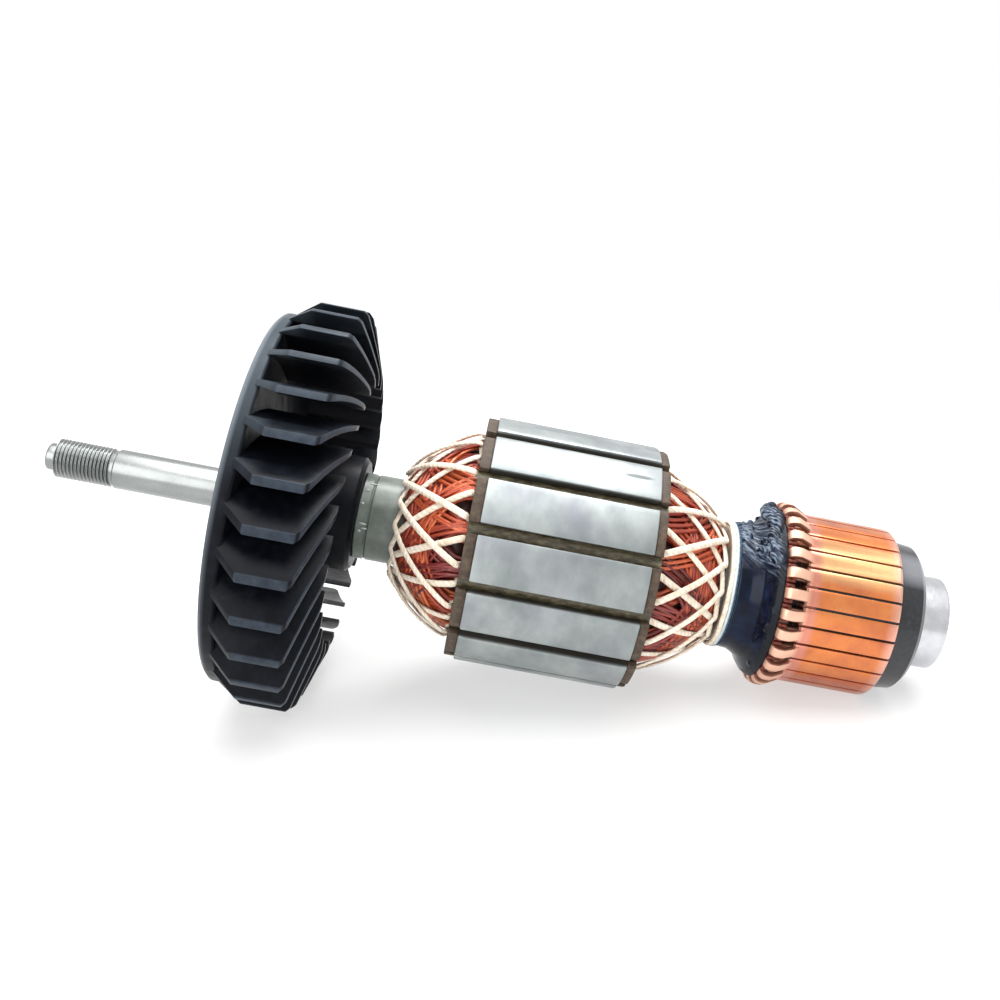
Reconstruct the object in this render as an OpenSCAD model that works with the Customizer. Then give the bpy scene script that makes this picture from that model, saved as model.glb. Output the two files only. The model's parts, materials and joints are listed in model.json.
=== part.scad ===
// Armature of a universal motor for a hand-held angle grinder.
// Every piece is turned about one line, and the whole lies at rest: it stands on two blade
// tips of the fan and on the far edge of the commutator.
// Stations along the shaft are counted from the fan side of the core, towards the commutator.

/* [Shaft] */
// Diameter of the shaft where the pinion sits
pinion_seat_d = 8; // [6:0.1:9]
// Length of the bare pinion seat, from the fan's hub to the thread's undercut
pinion_seat_l = 25; // [12:0.5:40]
// Diameter over the thread
thread_d = 7.9; // [5:0.1:7.9]
// Length of the thread
thread_l = 9.4; // [5:0.1:16]
// Diameter of the undercut behind the thread
undercut_d = 7.2; // [5:0.1:7.6]
// Length of the undercut
undercut_l = 2.6; // [1:0.1:5]
// Diameter of the dog point at the thread's end
dog_d = 5.4; // [3:0.1:6]
// Length of the dog point
dog_l = 2.3; // [1:0.1:5]
// Diameter of the shaft from the fan to the commutator
core_shaft_d = 10; // [9.2:0.1:11]
// Length of the shaft's end past the bearing
stub_l = 1; // [0.5:0.1:4]

/* [Core] */
// Diameter of the core
core_d = 50; // [48.5:0.1:56]
// Length of the core with both end plates
core_l = 36.8; // [20:0.1:60]
// Thickness of the end plate on the fan side
front_plate_t = 2.1; // [0.8:0.1:4]
// Thickness of the end plate on the commutator side
rear_plate_t = 1.8; // [0.8:0.1:4]
// How far the end plates stay below the core's face
plate_step = 0.6; // [0.2:0.1:1.2]
// Number of slots and of teeth
slot_n = 14; // [14]
// Width of the gap between two teeth
mouth_w = 2.2; // [1.4:0.1:3]
// Radius of the slot's wide end
slot_wide_r = 2.8; // [2.4:0.1:3]
// Radius of the slot's narrow end
slot_narrow_r = 1.2; // [0.9:0.1:1.5]
// Depth from the core's face to the top of the slot, under the teeth's lips
lip_t = 1.9; // [1.4:0.1:2.4]
// Distance between the centres of the slot's two round ends
slot_depth = 7.1; // [5.5:0.1:7.6]
// Wall of the paper that lines a slot
liner_t = 0.3; // [0.2:0.05:0.5]
// Thickness of the wedge that closes a slot
wedge_t = 1; // [0.7:0.1:1.3]
// Wall of the insulating tube between the core and the shaft
tube_t = 1.5; // [1:0.1:2]

/* [Winding heads] */
// Diameter of the insulating sleeve on the fan side
front_sleeve_d = 17.5; // [15:0.1:19]
// Distance from the fan's hub to the core
front_sleeve_l = 22; // [17:0.1:30]
// Diameter of the insulating sleeve on the commutator side
rear_sleeve_d = 18; // [15:0.1:20]
// Reach of the fan-side winding head
front_head_l = 15.2; // [12:0.1:16.5]
// Reach of the commutator-side winding head
rear_head_l = 15.5; // [12:0.1:16.5]
// Step down from the core to both winding heads, over the lacing
head_step = 3.6; // [3:0.1:5]
// Depth of the furrows between the bundles of wire
furrow = 0.9; // [0.3:0.1:1.5]
// Width of the lacing cord
cord_w = 1.3; // [0.8:0.1:1.6]
// Thickness of the lacing cord
cord_t = 0.64; // [0.4:0.02:0.8]
// Thickness of the cord that binds the leads behind the rear head
bind_d = 0.9; // [0.5:0.1:1.2]
// Turns of that cord
bind_n = 2; // [1:1:4]

/* [Fan] */
// Diameter over the blades
fan_d = 81.8; // [78:0.2:100]
// Step in from the blades' outer edges to the rim of the disc
disc_step = 3.4; // [2:0.1:7]
// Thickness of the disc at its rim
disc_t = 3; // [1.5:0.1:4]
// Thickness of the disc at its hub
disc_root_t = 5.2; // [3:0.1:7]
// Height of the fan, from the disc's back to the blades' highest edge
fan_h = 20.2; // [18:0.2:24]
// Where the blades' flat outer edge starts, from the back of the disc
blade_heel_l = 6.8; // [5:0.1:8]
// Where that flat edge ends
blade_flat_l = 15.5; // [12:0.1:17]
// How far the hub stands out past the blades
hub_proud = 1.4; // [0.4:0.1:3]
// Diameter of the hub
hub_d = 23.4; // [18:0.2:26]
// Length of the hub
hub_l = 24.5; // [22:0.2:30]
// Number of blades
blade_n = 30; // [24:2:32]
// Thickness of a blade at its tip
tip_t = 1.2; // [1:0.1:2.4]
// Thickness of a blade at its inner end
root_t = 0.9; // [0.6:0.1:1.2]
// Diameter of the circle on which the blades' inner ends lie
eye_d = 53; // [40:0.2:60]
// How far the blades lean back from the radius, in degrees
blade_lean = 40.5; // [20:1:50]

/* [Commutator] */
// Diameter of the commutator's running face
comm_d = 34.56; // [33:0.1:36]
// Length of the bars, without their hooks
bar_l = 19.2; // [14:0.1:26]
// Height of a bar, from its foot to the running face
bar_h = 4.3; // [3:0.1:5]
// Number of bars
bar_n = 28; // [28]
// Width of the groove between two bars
groove_w = 0.5; // [0.3:0.05:0.8]
// Depth of the groove, down to the moulding
groove_deep = 0.7; // [0.3:0.1:1.5]
// Rounding of the bars' outer edge
bar_edge = 0.8; // [0.3:0.1:1.2]
// Width of a hook
hook_w = 2.1; // [1.4:0.1:2.5]
// Thickness of a hook
hook_t = 0.95; // [0.6:0.05:1.2]
// Diameter of the wire that a hook holds
wire_d = 0.8; // [0.6:0.05:0.85]
// Length of the moulding's end ring
end_ring_l = 5.8; // [3:0.1:9]
// Diameter of the moulding's end ring
end_ring_d = 30.8; // [28.5:0.1:32]
// Outer diameter of the steel bush inside the moulding
bush_d = 14; // [13:0.1:16]
// Length of the resin neck, from the rear winding head to the hooks
neck_l = 9.6; // [7:0.1:14]
// Diameter of the resin neck
neck_d = 26.2; // [24.5:0.1:28]

/* [Bearing] */
// Bore of the ball bearing
bearing_bore = 7; // [6.5:0.1:7.5]
// Outer diameter of the ball bearing
bearing_d = 19; // [18.6:0.1:20]
// Width of the ball bearing
bearing_w = 6; // [5.6:0.1:7]
// Diameter of a ball
ball_d = 3.5; // [3.2:0.05:3.6]
// Number of balls
ball_n = 7; // [5:1:7]
// Distance from the moulding's end ring to the bearing
bearing_gap = 1.1; // [0.5:0.1:4]

/* [Fits] */
// Clearance of pieces that are pressed or laid together
seat_gap = 0.02; // [0.01:0.01:0.05]
// Clearance of pieces that turn past each other
run_gap = 0.05; // [0.03:0.01:0.08]

/* [Hidden] */
$fn = 96;

// Stations along the shaft
hub_face = -front_sleeve_l;
hub_back = hub_face - hub_l;
undercut_s = hub_back - pinion_seat_l;
thread_s = undercut_s - undercut_l;
dog_s = thread_s - thread_l;
shaft_start = dog_s - dog_l;
rear_head_end = core_l + rear_head_l;
hook_bend_r = wire_d / 2 + run_gap + hook_t;
hook_start = rear_head_end + neck_l + 0.2;
hook_s = hook_start + hook_bend_r;
bar_start = hook_start + 4.25;
bar_end = bar_start + bar_l;
ring_end = bar_end + end_ring_l;
bearing_s = ring_end + bearing_gap;
bearing_end = bearing_s + bearing_w;
shaft_end = bearing_end + stub_l;

// Radii of the main pieces
comm_r = comm_d / 2;
bar_foot_r = comm_r - bar_h;
fan_r = fan_d / 2;
disc_back = hub_face - hub_proud - fan_h;
disc_r = fan_r - disc_step;
hook_r = comm_r + 0.22;

// Where each pattern starts, as an angle from straight down
slot_turn = 14.2;
bar_turn = 3.2;
blade_turn = 180 / blade_n;

// The rest: the blades' corners on both sides of straight down, and the bars' rounded edge
blade_flat_s = disc_back + blade_flat_l;
gap_half = blade_turn - blade_half(fan_r);
fan_rest_r = fan_r * cos(gap_half);
edge_s = bar_end - bar_edge;
edge_r = comm_r - bar_edge;
rest_drop = fan_rest_r - edge_r;
rest_span = edge_s - blade_flat_s;
tilt = acos(bar_edge / norm([rest_drop, rest_span])) - atan2(rest_span, rest_drop);
axis_h = blade_flat_s * sin(tilt) + fan_rest_r * cos(tilt);

// The ends, which place the origin under the middle
shaft_chamfer = 0.4;
bearing_edge = 0.4;
low_x = shaft_start * cos(tilt) - (dog_d / 2 - shaft_chamfer) * sin(tilt);
bearing_x = (bearing_end - bearing_edge) * cos(tilt)
    + (bearing_d / 2 - bearing_edge) * sin(tilt) + bearing_edge;
stub_x = shaft_end * cos(tilt) + (bearing_bore / 2 - shaft_chamfer) * sin(tilt);
mid_x = (low_x + max(bearing_x, stub_x)) / 2;

function bar_name(i) = str("commutator_bar_", i < 10 ? "0" : "", i);

// ---------- Placing ----------

// Lays a piece that is drawn about +Z so that +Z runs down to the commutator
module lay() {
    translate([-mid_x, 0, axis_h])
        rotate([0, 90 + tilt, 0])
            children();
}

// Revolves an outline of [station, radius] points about the shaft
module turned(outline) {
    rotate_extrude()
        polygon([for (p = outline) [p[1], p[0]]]);
}

// A plain ring between two stations
module ring(s0, s1, r_out, r_in) {
    turned([[s0, r_in], [s0, r_out], [s1, r_out], [s1, r_in]]);
}

module slots_around() {
    for (i = [0 : slot_n - 1])
        rotate(slot_turn + i * 360 / slot_n)
            children();
}

module bars_around(from = 0) {
    for (i = [0 : bar_n - 1])
        rotate(bar_turn + (i + from) * 360 / bar_n)
            children();
}

// ---------- Shaft ----------

module shaft() {
    c = shaft_chamfer;
    root = 0.6;
    color("#c9ccd0")
        lay()
            turned([
                [shaft_start, 0], [shaft_start, dog_d / 2 - c], [shaft_start + c, dog_d / 2],
                [dog_s, dog_d / 2], [dog_s + root, thread_d / 2], [thread_s - root / 2, thread_d / 2],
                [thread_s, undercut_d / 2], [undercut_s - c, undercut_d / 2],
                [undercut_s, pinion_seat_d / 2], [hub_back, pinion_seat_d / 2],
                [hub_back, core_shaft_d / 2], [ring_end, core_shaft_d / 2],
                [ring_end, bearing_bore / 2 + 0.6], [bearing_s, bearing_bore / 2 + 0.6],
                [bearing_s, bearing_bore / 2],
                [shaft_end - c, bearing_bore / 2], [shaft_end, bearing_bore / 2 - c], [shaft_end, 0]
            ]);
}

// ---------- Fan ----------

// Half of a blade's width at a radius, as an angle
function blade_t(r) = root_t + (tip_t - root_t) * (r - eye_d / 2) / (fan_r - eye_d / 2);
function blade_half(r) = blade_t(r) / 2 / cos(blade_lean) / r * 180 / PI;

// Angle of a blade's middle at a radius: a spiral that keeps its lean
function blade_at(r) = -tan(blade_lean) * ln(fan_r / r) * 180 / PI;

// One blade seen along the shaft
module blade_2d() {
    steps = 6;
    past = 1.5;
    radii = concat(
        [for (i = [0 : steps]) eye_d / 2 + (fan_r - eye_d / 2) * i / steps],
        [fan_r + past]
    );
    n = len(radii);
    polygon(concat(
        [for (r = radii) r * [cos(blade_at(r) - blade_half(r)), sin(blade_at(r) - blade_half(r))]],
        [for (i = [n - 1 : -1 : 0])
            let (r = radii[i], a = blade_at(r) + blade_half(r)) r * [cos(a), sin(a)]]
    ));
}

// What the blades fill: their edge runs flat, slopes to the core and ends round the eye
module blade_room() {
    top = disc_back + fan_h;
    span = fan_r - eye_d / 2;
    turned([
        [disc_back + disc_t / 2, 0], [disc_back + disc_t / 2, disc_r - 1],
        [disc_back + disc_t * 0.7, disc_r], [disc_back + blade_heel_l, fan_r], [blade_flat_s, fan_r],
        [blade_flat_s + 0.06 * span, fan_r - 0.06 * span],
        [top - 0.02 * span, eye_d / 2 + 0.22 * span], [top, eye_d / 2 + 0.12 * span], [top, 0]
    ]);
}

module cooling_fan() {
    bore_r = core_shaft_d / 2 + seat_gap;
    color("#23262d")
        lay() {
            turned([
                [hub_back, bore_r], [hub_back, hub_d / 2 - 1], [hub_back + 1, hub_d / 2],
                [disc_back, hub_d / 2], [disc_back, disc_r - 0.6], [disc_back + 0.6, disc_r],
                [disc_back + disc_t - 0.4, disc_r], [disc_back + disc_t, disc_r - 0.4],
                [disc_back + disc_root_t, hub_d / 2 + 1.5], [disc_back + disc_root_t + 1, hub_d / 2],
                [hub_face - 0.8, hub_d / 2], [hub_face, hub_d / 2 - 0.8], [hub_face, bore_r]
            ]);
            intersection() {
                translate([0, 0, disc_back + disc_t / 2])
                    linear_extrude(fan_h)
                        for (i = [0 : blade_n - 1])
                            rotate(blade_turn + i * 360 / blade_n)
                                blade_2d();
                blade_room();
            }
        }
}

// ---------- Insulation on the shaft ----------

module front_sleeve() {
    r = front_sleeve_d / 2;
    color("#7d837c")
        lay()
            turned([
                [hub_face, core_shaft_d / 2 + seat_gap], [hub_face, r - 0.3], [hub_face + 0.3, r],
                [hub_face + 2, r], [hub_face + 2.2, r - 0.25], [hub_face + 2.5, r - 0.25],
                [hub_face + 2.7, r], [0, r], [0, core_shaft_d / 2 + seat_gap]
            ]);
}

module core_tube() {
    r = core_shaft_d / 2 + seat_gap;
    color("#7d837c")
        lay()
            ring(0, core_l, r + tube_t, r);
}

module rear_sleeve() {
    color("#7d837c")
        lay()
            ring(core_l, hook_start, rear_sleeve_d / 2, core_shaft_d / 2 + seat_gap);
}

// ---------- Core ----------

// Centres of a slot's wide and narrow ends, and the slot's outline, grown all round
wide_x = core_d / 2 - lip_t - slot_wide_r;
narrow_x = wide_x - slot_depth;

module slot_2d(grow = 0) {
    wide = slot_wide_r + grow;
    narrow = slot_narrow_r + grow;
    nx = -(wide - narrow) / slot_depth;
    ny = sqrt(1 - nx * nx);
    translate([wide_x, 0])
        circle(wide);
    translate([narrow_x, 0])
        circle(narrow);
    polygon([
        [wide_x + nx * wide, ny * wide], [narrow_x + nx * narrow, ny * narrow],
        [narrow_x + nx * narrow, -ny * narrow], [wide_x + nx * wide, -ny * wide]
    ]);
}

module plate_2d(r) {
    difference() {
        circle(r);
        circle(core_shaft_d / 2 + seat_gap + tube_t + seat_gap);
        slots_around() {
            slot_2d();
            translate([wide_x, -mouth_w / 2])
                square([core_d / 2, mouth_w]);
        }
    }
}

module stamped(s0, s1, r) {
    translate([0, 0, s0])
        linear_extrude(s1 - s0)
            plate_2d(r);
}

module lamination_stack() {
    color("#b9bec1")
        lay()
            stamped(front_plate_t, core_l - rear_plate_t, core_d / 2);
}

module front_end_plate() {
    color("#5d534a")
        lay()
            stamped(0, front_plate_t, core_d / 2 - plate_step);
}

module rear_end_plate() {
    color("#5d534a")
        lay()
            stamped(core_l - rear_plate_t, core_l, core_d / 2 - plate_step);
}

// Keeps what lies below the wedge, or above it
wedge_x = core_d / 2 - lip_t - wedge_t;

module below_wedge() {
    intersection() {
        children();
        translate([0, -core_d / 2])
            square([wedge_x - seat_gap, core_d]);
    }
}

module slot_liners() {
    color("#a8875a")
        lay()
            linear_extrude(core_l)
                slots_around()
                    below_wedge()
                        difference() {
                            slot_2d(-seat_gap);
                            slot_2d(-seat_gap - liner_t);
                        }
}

module slot_wedges() {
    color("#6a6038")
        lay()
            linear_extrude(core_l)
                slots_around()
                    intersection() {
                        slot_2d(-seat_gap);
                        translate([wedge_x, -core_d / 2])
                            square([core_d, core_d]);
                    }
}

module slot_conductors() {
    color("#a8502e")
        lay()
            linear_extrude(core_l)
                slots_around()
                    below_wedge()
                        slot_2d(-liner_t - 2 * seat_gap);
}

// ---------- Winding heads ----------

// A head is [inner radius, height over it, reach, exponent, where it is cut off, cord's pull]
head_top_r = core_d / 2 - head_step;
front_head = [
    front_sleeve_d / 2, head_top_r - front_sleeve_d / 2, front_head_l, 1.4, front_head_l,
    0.457 * front_sleeve_d
];
rear_head = [
    rear_sleeve_d / 2, head_top_r - rear_sleeve_d / 2, rear_head_l + 2, 1.3, rear_head_l,
    0.489 * rear_sleeve_d
];
cord_gap = 0.12;
cord_sag = 0.3;
lace_t = 2 * cord_t + cord_gap + cord_sag;

// Radius over the lacing at a distance from the core, and under it
function head_r(h, u) = h[0] + h[1] * pow(max(0, 1 - pow(u / h[2], h[3])), 1 / h[3]);
function dome_r(h, u) = h[0] + seat_gap
    + (h[1] - lace_t) * pow(max(0, 1 - pow(u / (h[2] - lace_t), h[3])), 1 / h[3]);
function head_slope(h, u) = (head_r(h, u + 0.1) - head_r(h, u - 0.1)) / 0.2;

// The bundles of wire lean round the head as they leave the slots
bundle_lean = 2.2;
bundle_steps = 7;

function bundle_r(h, u, a) = let (
    dome = dome_r(h, u),
    full = min(1, (dome - h[0]) / 3),
    wave = pow(abs(sin(slot_n / 2 * (a - slot_turn + bundle_lean * u))), 1.6)
) dome - furrow * full * wave;

module winding_head(h) {
    rows = 8;
    n = slot_n * bundle_steps;
    last = min(h[4] - cord_t, h[2] - lace_t) - 0.05;
    outer = [for (i = [0 : rows]) last * sin(90 * i / rows)];
    points = concat(
        [for (u = outer) for (j = [0 : n - 1])
            let (a = 360 * j / n, r = max(h[0] + 0.3, bundle_r(h, u, a))) [r * cos(a), r * sin(a), u]],
        [for (u = [last, 0]) for (j = [0 : n - 1])
            let (a = 360 * j / n, r = h[0] + run_gap) [r * cos(a), r * sin(a), u]]
    );
    rings = rows + 3;
    polyhedron(points, [
        for (i = [0 : rings - 1]) for (j = [0 : n - 1]) each [
            [i * n + j, ((i + 1) % rings) * n + j, i * n + (j + 1) % n],
            [i * n + (j + 1) % n, ((i + 1) % rings) * n + j, ((i + 1) % rings) * n + (j + 1) % n]
        ]
    ]);
}

// Stands a head on the core's fan side or on its commutator side
module on_front() {
    mirror([0, 0, 1])
        children();
}

module on_rear() {
    translate([0, 0, core_l])
        children();
}

module front_winding_head() {
    color("#a4482a")
        lay()
            on_front()
                winding_head(front_head);
}

module rear_winding_head() {
    color("#a4482a")
        lay()
            on_rear()
                winding_head(rear_head);
}

// ---------- Lacing ----------

// One run of the cord over a head, from the core to the sleeve. It is drawn tight, so it
// follows the shortest way: radius times the sine of its angle to the shaft stays the same.
cord_steps = 6;
cord_foot = 0.7;

function cord_turn(h, r) = h[5] / r / sqrt(max(1, r * r - h[5] * h[5])) * 180 / PI;
function cord_u(h, i) = cord_foot + (h[4] - lace_t / 2 - cord_foot) * sin(90 * i / cord_steps);
function cord_angle(h, i) = i == 0 ? 6 : let (
    u0 = cord_u(h, i - 1),
    u1 = cord_u(h, i),
    r0 = head_r(h, u0),
    r1 = head_r(h, u1)
) cord_angle(h, i - 1) + norm([u1 - u0, r1 - r0]) * cord_turn(h, (r0 + r1) / 2);

// A point of the cord and the way out of the head there; deep counts down from the lacing's top
function cord_at(h, u, a, deep) = let (
    slope = head_slope(h, u),
    out = [-slope, 1] / norm([-slope, 1]),
    p = [u, head_r(h, u)] - deep * out
) [[p[1] * cos(a), p[1] * sin(a), p[0]], [out[1] * cos(a), out[1] * sin(a), out[0]]];

// Two runs that share a turn at the sleeve, and the turns that link them to the next two
over_d = cord_t / 2;
under_d = cord_t * 1.5 + cord_gap;
cord_stride = 4;

function cord_vee(h, slot) = let (
    pitch = 360 / slot_n,
    a0 = slot_turn + slot * pitch,
    a1 = a0 + cord_stride * pitch,
    last = cord_angle(h, cord_steps),
    end_u = cord_u(h, cord_steps)
) concat(
    [for (i = [0 : cord_steps]) cord_at(h, cord_u(h, i), a0 + cord_angle(h, i), under_d)],
    [cord_at(h, end_u, (a0 + a1) / 2, (over_d + under_d) / 2)],
    [for (i = [cord_steps : -1 : 0]) cord_at(h, cord_u(h, i), a1 - cord_angle(h, i), over_d)],
    [cord_at(h, cord_foot, a1, (over_d + under_d) / 2)]
);

function unit(v) = v / norm(v);

// A flat cord swept along a closed route of [point, way out] pairs
module swept_cord(route) {
    n = len(route);
    sides = 6;
    points = [for (k = [0 : n - 1]) let (
        along = unit(route[(k + 1) % n][0] - route[(k + n - 1) % n][0]),
        out = unit(route[k][1] - along * (route[k][1] * along)),
        side = cross(along, out)
    ) for (j = [0 : sides - 1]) let (b = 360 * j / sides)
        route[k][0] + side * cord_w / 2 * cos(b) + out * cord_t / 2 * sin(b) / sin(60)];
    polyhedron(points, [
        for (k = [0 : n - 1]) for (j = [0 : sides - 1]) each [
            [k * sides + j, ((k + 1) % n) * sides + j, k * sides + (j + 1) % sides],
            [k * sides + (j + 1) % sides, ((k + 1) % n) * sides + j,
                ((k + 1) % n) * sides + (j + 1) % sides]
        ]
    ]);
}

module lacing(h) {
    for (start = [0, 1])
        swept_cord([for (v = [0 : slot_n / 2 - 1]) each cord_vee(h, start + v * cord_stride)]);
}

module front_lacing() {
    color("#efe3d3")
        lay()
            on_front()
                lacing(front_head);
}

module rear_lacing() {
    color("#efe3d3")
        lay()
            on_rear()
                lacing(rear_head);
}

// Turns of cord that bind the leads behind the rear head
bind_r = neck_d / 2 - bind_d;

module rear_binding() {
    color("#efe3d3")
        lay()
            for (i = [0 : bind_n - 1])
                translate([0, 0, rear_head_end + bind_d * (i + 0.5)])
                    rotate_extrude()
                        translate([bind_r + bind_d / 2 + seat_gap, 0])
                            circle(bind_d / 2 - seat_gap);
}

// ---------- Resin neck ----------

module resin_neck() {
    bound = rear_head_end + bind_n * bind_d;
    s = hook_start - 0.1;
    r = neck_d / 2;
    color("#16233f")
        lay()
            turned([
                [rear_head_end, rear_sleeve_d / 2 + seat_gap], [rear_head_end, bind_r],
                [bound, bind_r], [bound, r],
                [s - 5.4, r], [s - 4.4, r + 0.5], [s - 3, r + 1.3], [s - 2.2, r + 2.9], [s - 1.2, r + 4.1],
                [s, comm_r + 0.9], [s, rear_sleeve_d / 2 + seat_gap]
            ]);
}

// ---------- Commutator ----------

// A bar's section across the shaft, from its foot out past the running face
module bar_2d() {
    half = 180 / bar_n;
    shrink = groove_w / 2 / cos(half);
    r0 = bar_foot_r - 1;
    r1 = comm_r + 2;
    polygon([
        [r0, -r0 * tan(half) + shrink], [r1, -r1 * tan(half) + shrink],
        [r1, r1 * tan(half) - shrink], [r0, r0 * tan(half) - shrink]
    ]);
}

// A hook is a strip folded back over its wire, with its end on the bar
module hook() {
    rb = hook_bend_r;
    rc = hook_r;
    rotate([90, 0, 0])
        translate([0, 0, -hook_w / 2])
            linear_extrude(hook_w)
                union() {
                    translate([rc, hook_s])
                        difference() {
                            circle(rb, $fn = 32);
                            circle(rb - hook_t, $fn = 32);
                            translate([-2 * rb, 0])
                                square([4 * rb, 2 * rb]);
                        }
                    polygon([
                        [rc - rb, hook_s], [rc - rb + hook_t, hook_s],
                        [rc - rb + hook_t, bar_start + 0.5], [rc - rb, bar_start + 0.5]
                    ]);
                    polygon([
                        [rc + rb - hook_t, hook_s], [rc + rb, hook_s], [rc + rb, hook_s + 1.1],
                        [rc + rb - 0.7, hook_s + 2.5], [comm_r - 0.1, bar_start + 1.5],
                        [comm_r - 0.3, bar_start + 0.2], [rc + rb - hook_t, hook_s + 1.1]
                    ]);
                }
}

module commutator_bar(i) {
    color("#e08a58")
        lay()
            rotate(bar_turn + i * 360 / bar_n) {
                intersection() {
                    translate([0, 0, bar_start - 1])
                        linear_extrude(bar_l + 2)
                            bar_2d();
                    rotate_extrude()
                        union() {
                            translate([edge_r, edge_s])
                                circle(bar_edge);
                            polygon([
                                [bar_foot_r, bar_start], [comm_r, bar_start],
                                [comm_r, edge_s], [edge_r, edge_s], [edge_r, bar_end], [bar_foot_r, bar_end]
                            ]);
                        }
                }
                hook();
            }
}

module commutator_moulding() {
    foot = bar_foot_r - seat_gap;
    color("#2c3038")
        lay() {
            turned([
                [hook_start, bush_d / 2 + seat_gap], [hook_start, foot],
                [bar_end, foot], [bar_end, end_ring_d / 2], [ring_end - 0.9, end_ring_d / 2 - 0.5],
                [ring_end, end_ring_d / 2 - 1.4], [ring_end, bush_d / 2 + seat_gap]
            ]);
            bars_around(0.5)
                translate([foot - 0.5, -groove_w / 2 + seat_gap, bar_start])
                    cube([bar_h + 0.5 - groove_deep, groove_w - 2 * seat_gap, bar_l - 0.2]);
        }
}

module commutator_bush() {
    color("#9ea3a8")
        lay()
            ring(hook_start, ring_end, bush_d / 2, core_shaft_d / 2 + seat_gap);
}

// Wire ends: through the hook, and back to the resin on both sides of it
module hook_wires() {
    rc = hook_r;
    half = hook_w / 2 + wire_d / 2 + seat_gap;
    r = wire_d / 2;
    color("#7c3322")
        lay()
            bars_around() {
                translate([rc, half, hook_s])
                    rotate([90, 0, 0])
                        cylinder(h = 2 * half, r = r, $fn = 24);
                for (side = [-1, 1])
                    translate([rc, side * half, hook_start])
                        cylinder(h = hook_s - hook_start, r = r, $fn = 24);
                for (side = [-1, 1])
                    translate([rc, side * half, hook_s])
                        sphere(r, $fn = 24);
            }
}

// ---------- Bearing ----------

pitch_r = (bearing_bore + bearing_d) / 4;
race_r = ball_d / 2 + run_gap;
inner_land = pitch_r - ball_d * 0.44;
outer_land = pitch_r + ball_d * 0.44;
bearing_mid = bearing_s + bearing_w / 2;

module race() {
    translate([0, 0, bearing_mid])
        rotate_extrude()
            translate([pitch_r, 0])
                circle(race_r, $fn = 48);
}

module bearing_inner_ring() {
    r = bearing_bore / 2 + seat_gap;
    e = bearing_edge / 2;
    color("#b8bcc0")
        lay()
            difference() {
                turned([
                    [bearing_s, r], [bearing_s, inner_land - e], [bearing_s + e, inner_land],
                    [bearing_end - e, inner_land], [bearing_end, inner_land - e], [bearing_end, r]
                ]);
                race();
            }
}

module bearing_outer_ring() {
    e = bearing_edge;
    r = bearing_d / 2;
    color("#d5d8db")
        lay()
            difference() {
                rotate_extrude() {
                    for (s = [bearing_s + e, bearing_end - e])
                        translate([r - e, s])
                            circle(e, $fn = 32);
                    translate([outer_land, bearing_s + e])
                        square([r - outer_land, bearing_w - 2 * e]);
                    translate([outer_land, bearing_s])
                        square([r - outer_land - e, bearing_w]);
                }
                race();
            }
}

module bearing_balls() {
    color("#dfe2e4")
        lay()
            for (i = [0 : ball_n - 1])
                rotate(i * 360 / ball_n)
                    translate([pitch_r, 0, bearing_mid])
                        sphere(ball_d / 2, $fn = 48);
}

module bearing_cage() {
    half = ball_d / 2 + 0.5;
    wall = 0.5;
    color("#b39a5c")
        lay()
            difference() {
                ring(bearing_mid - half, bearing_mid + half, pitch_r + wall, pitch_r - wall);
                for (i = [0 : ball_n - 1])
                    rotate(i * 360 / ball_n)
                        translate([pitch_r - 2 * wall, 0, bearing_mid])
                            rotate([0, 90, 0])
                                cylinder(h = 4 * wall, r = race_r);
            }
}

// The shields are held in the outer ring and run clear of the inner one
module shield(s) {
    ring(s, s + 0.3, outer_land - seat_gap, inner_land + 2 * run_gap);
}

module bearing_front_shield() {
    color("#aeb2b6")
        lay()
            shield(bearing_s + 0.25);
}

module bearing_rear_shield() {
    color("#aeb2b6")
        lay()
            shield(bearing_end - 0.55);
}

// ---------- Pieces ----------

shaft();
cooling_fan();
front_sleeve();
core_tube();
rear_sleeve();
front_end_plate();
lamination_stack();
rear_end_plate();
slot_liners();
slot_wedges();
slot_conductors();
front_winding_head();
rear_winding_head();
front_lacing();
rear_lacing();
rear_binding();
resin_neck();
commutator_moulding();
commutator_bush();
hook_wires();
bearing_inner_ring();
bearing_outer_ring();
bearing_balls();
bearing_cage();
bearing_front_shield();
bearing_rear_shield();
for (i = [1 : bar_n]) commutator_bar(i);
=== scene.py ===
import json
import math
import random

import bpy
import numpy as np
from mathutils import Matrix, Vector


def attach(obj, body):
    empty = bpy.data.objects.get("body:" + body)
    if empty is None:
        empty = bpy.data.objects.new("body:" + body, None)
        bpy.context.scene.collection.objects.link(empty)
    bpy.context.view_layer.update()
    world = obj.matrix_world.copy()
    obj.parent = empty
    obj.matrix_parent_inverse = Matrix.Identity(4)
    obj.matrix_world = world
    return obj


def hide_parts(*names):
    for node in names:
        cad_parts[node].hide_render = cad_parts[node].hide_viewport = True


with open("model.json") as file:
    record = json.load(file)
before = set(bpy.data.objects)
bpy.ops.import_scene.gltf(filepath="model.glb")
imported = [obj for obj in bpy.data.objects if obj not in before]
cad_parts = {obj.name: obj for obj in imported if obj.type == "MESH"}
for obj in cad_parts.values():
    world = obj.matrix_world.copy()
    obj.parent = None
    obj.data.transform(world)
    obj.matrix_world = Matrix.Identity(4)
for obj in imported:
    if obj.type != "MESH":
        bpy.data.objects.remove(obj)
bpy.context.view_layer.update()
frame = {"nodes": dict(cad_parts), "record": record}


# ---- The shaft's line ----
# Every piece of the armature is turned, pressed or wound on one steel shaft. Pieces are drawn
# upright in millimetres, with stations counted from the core's fan-side face towards the
# commutator, and are then laid on the line between the pinion seat and the bearing.

PINION_STATION = -59.0
MM = 0.001

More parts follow.
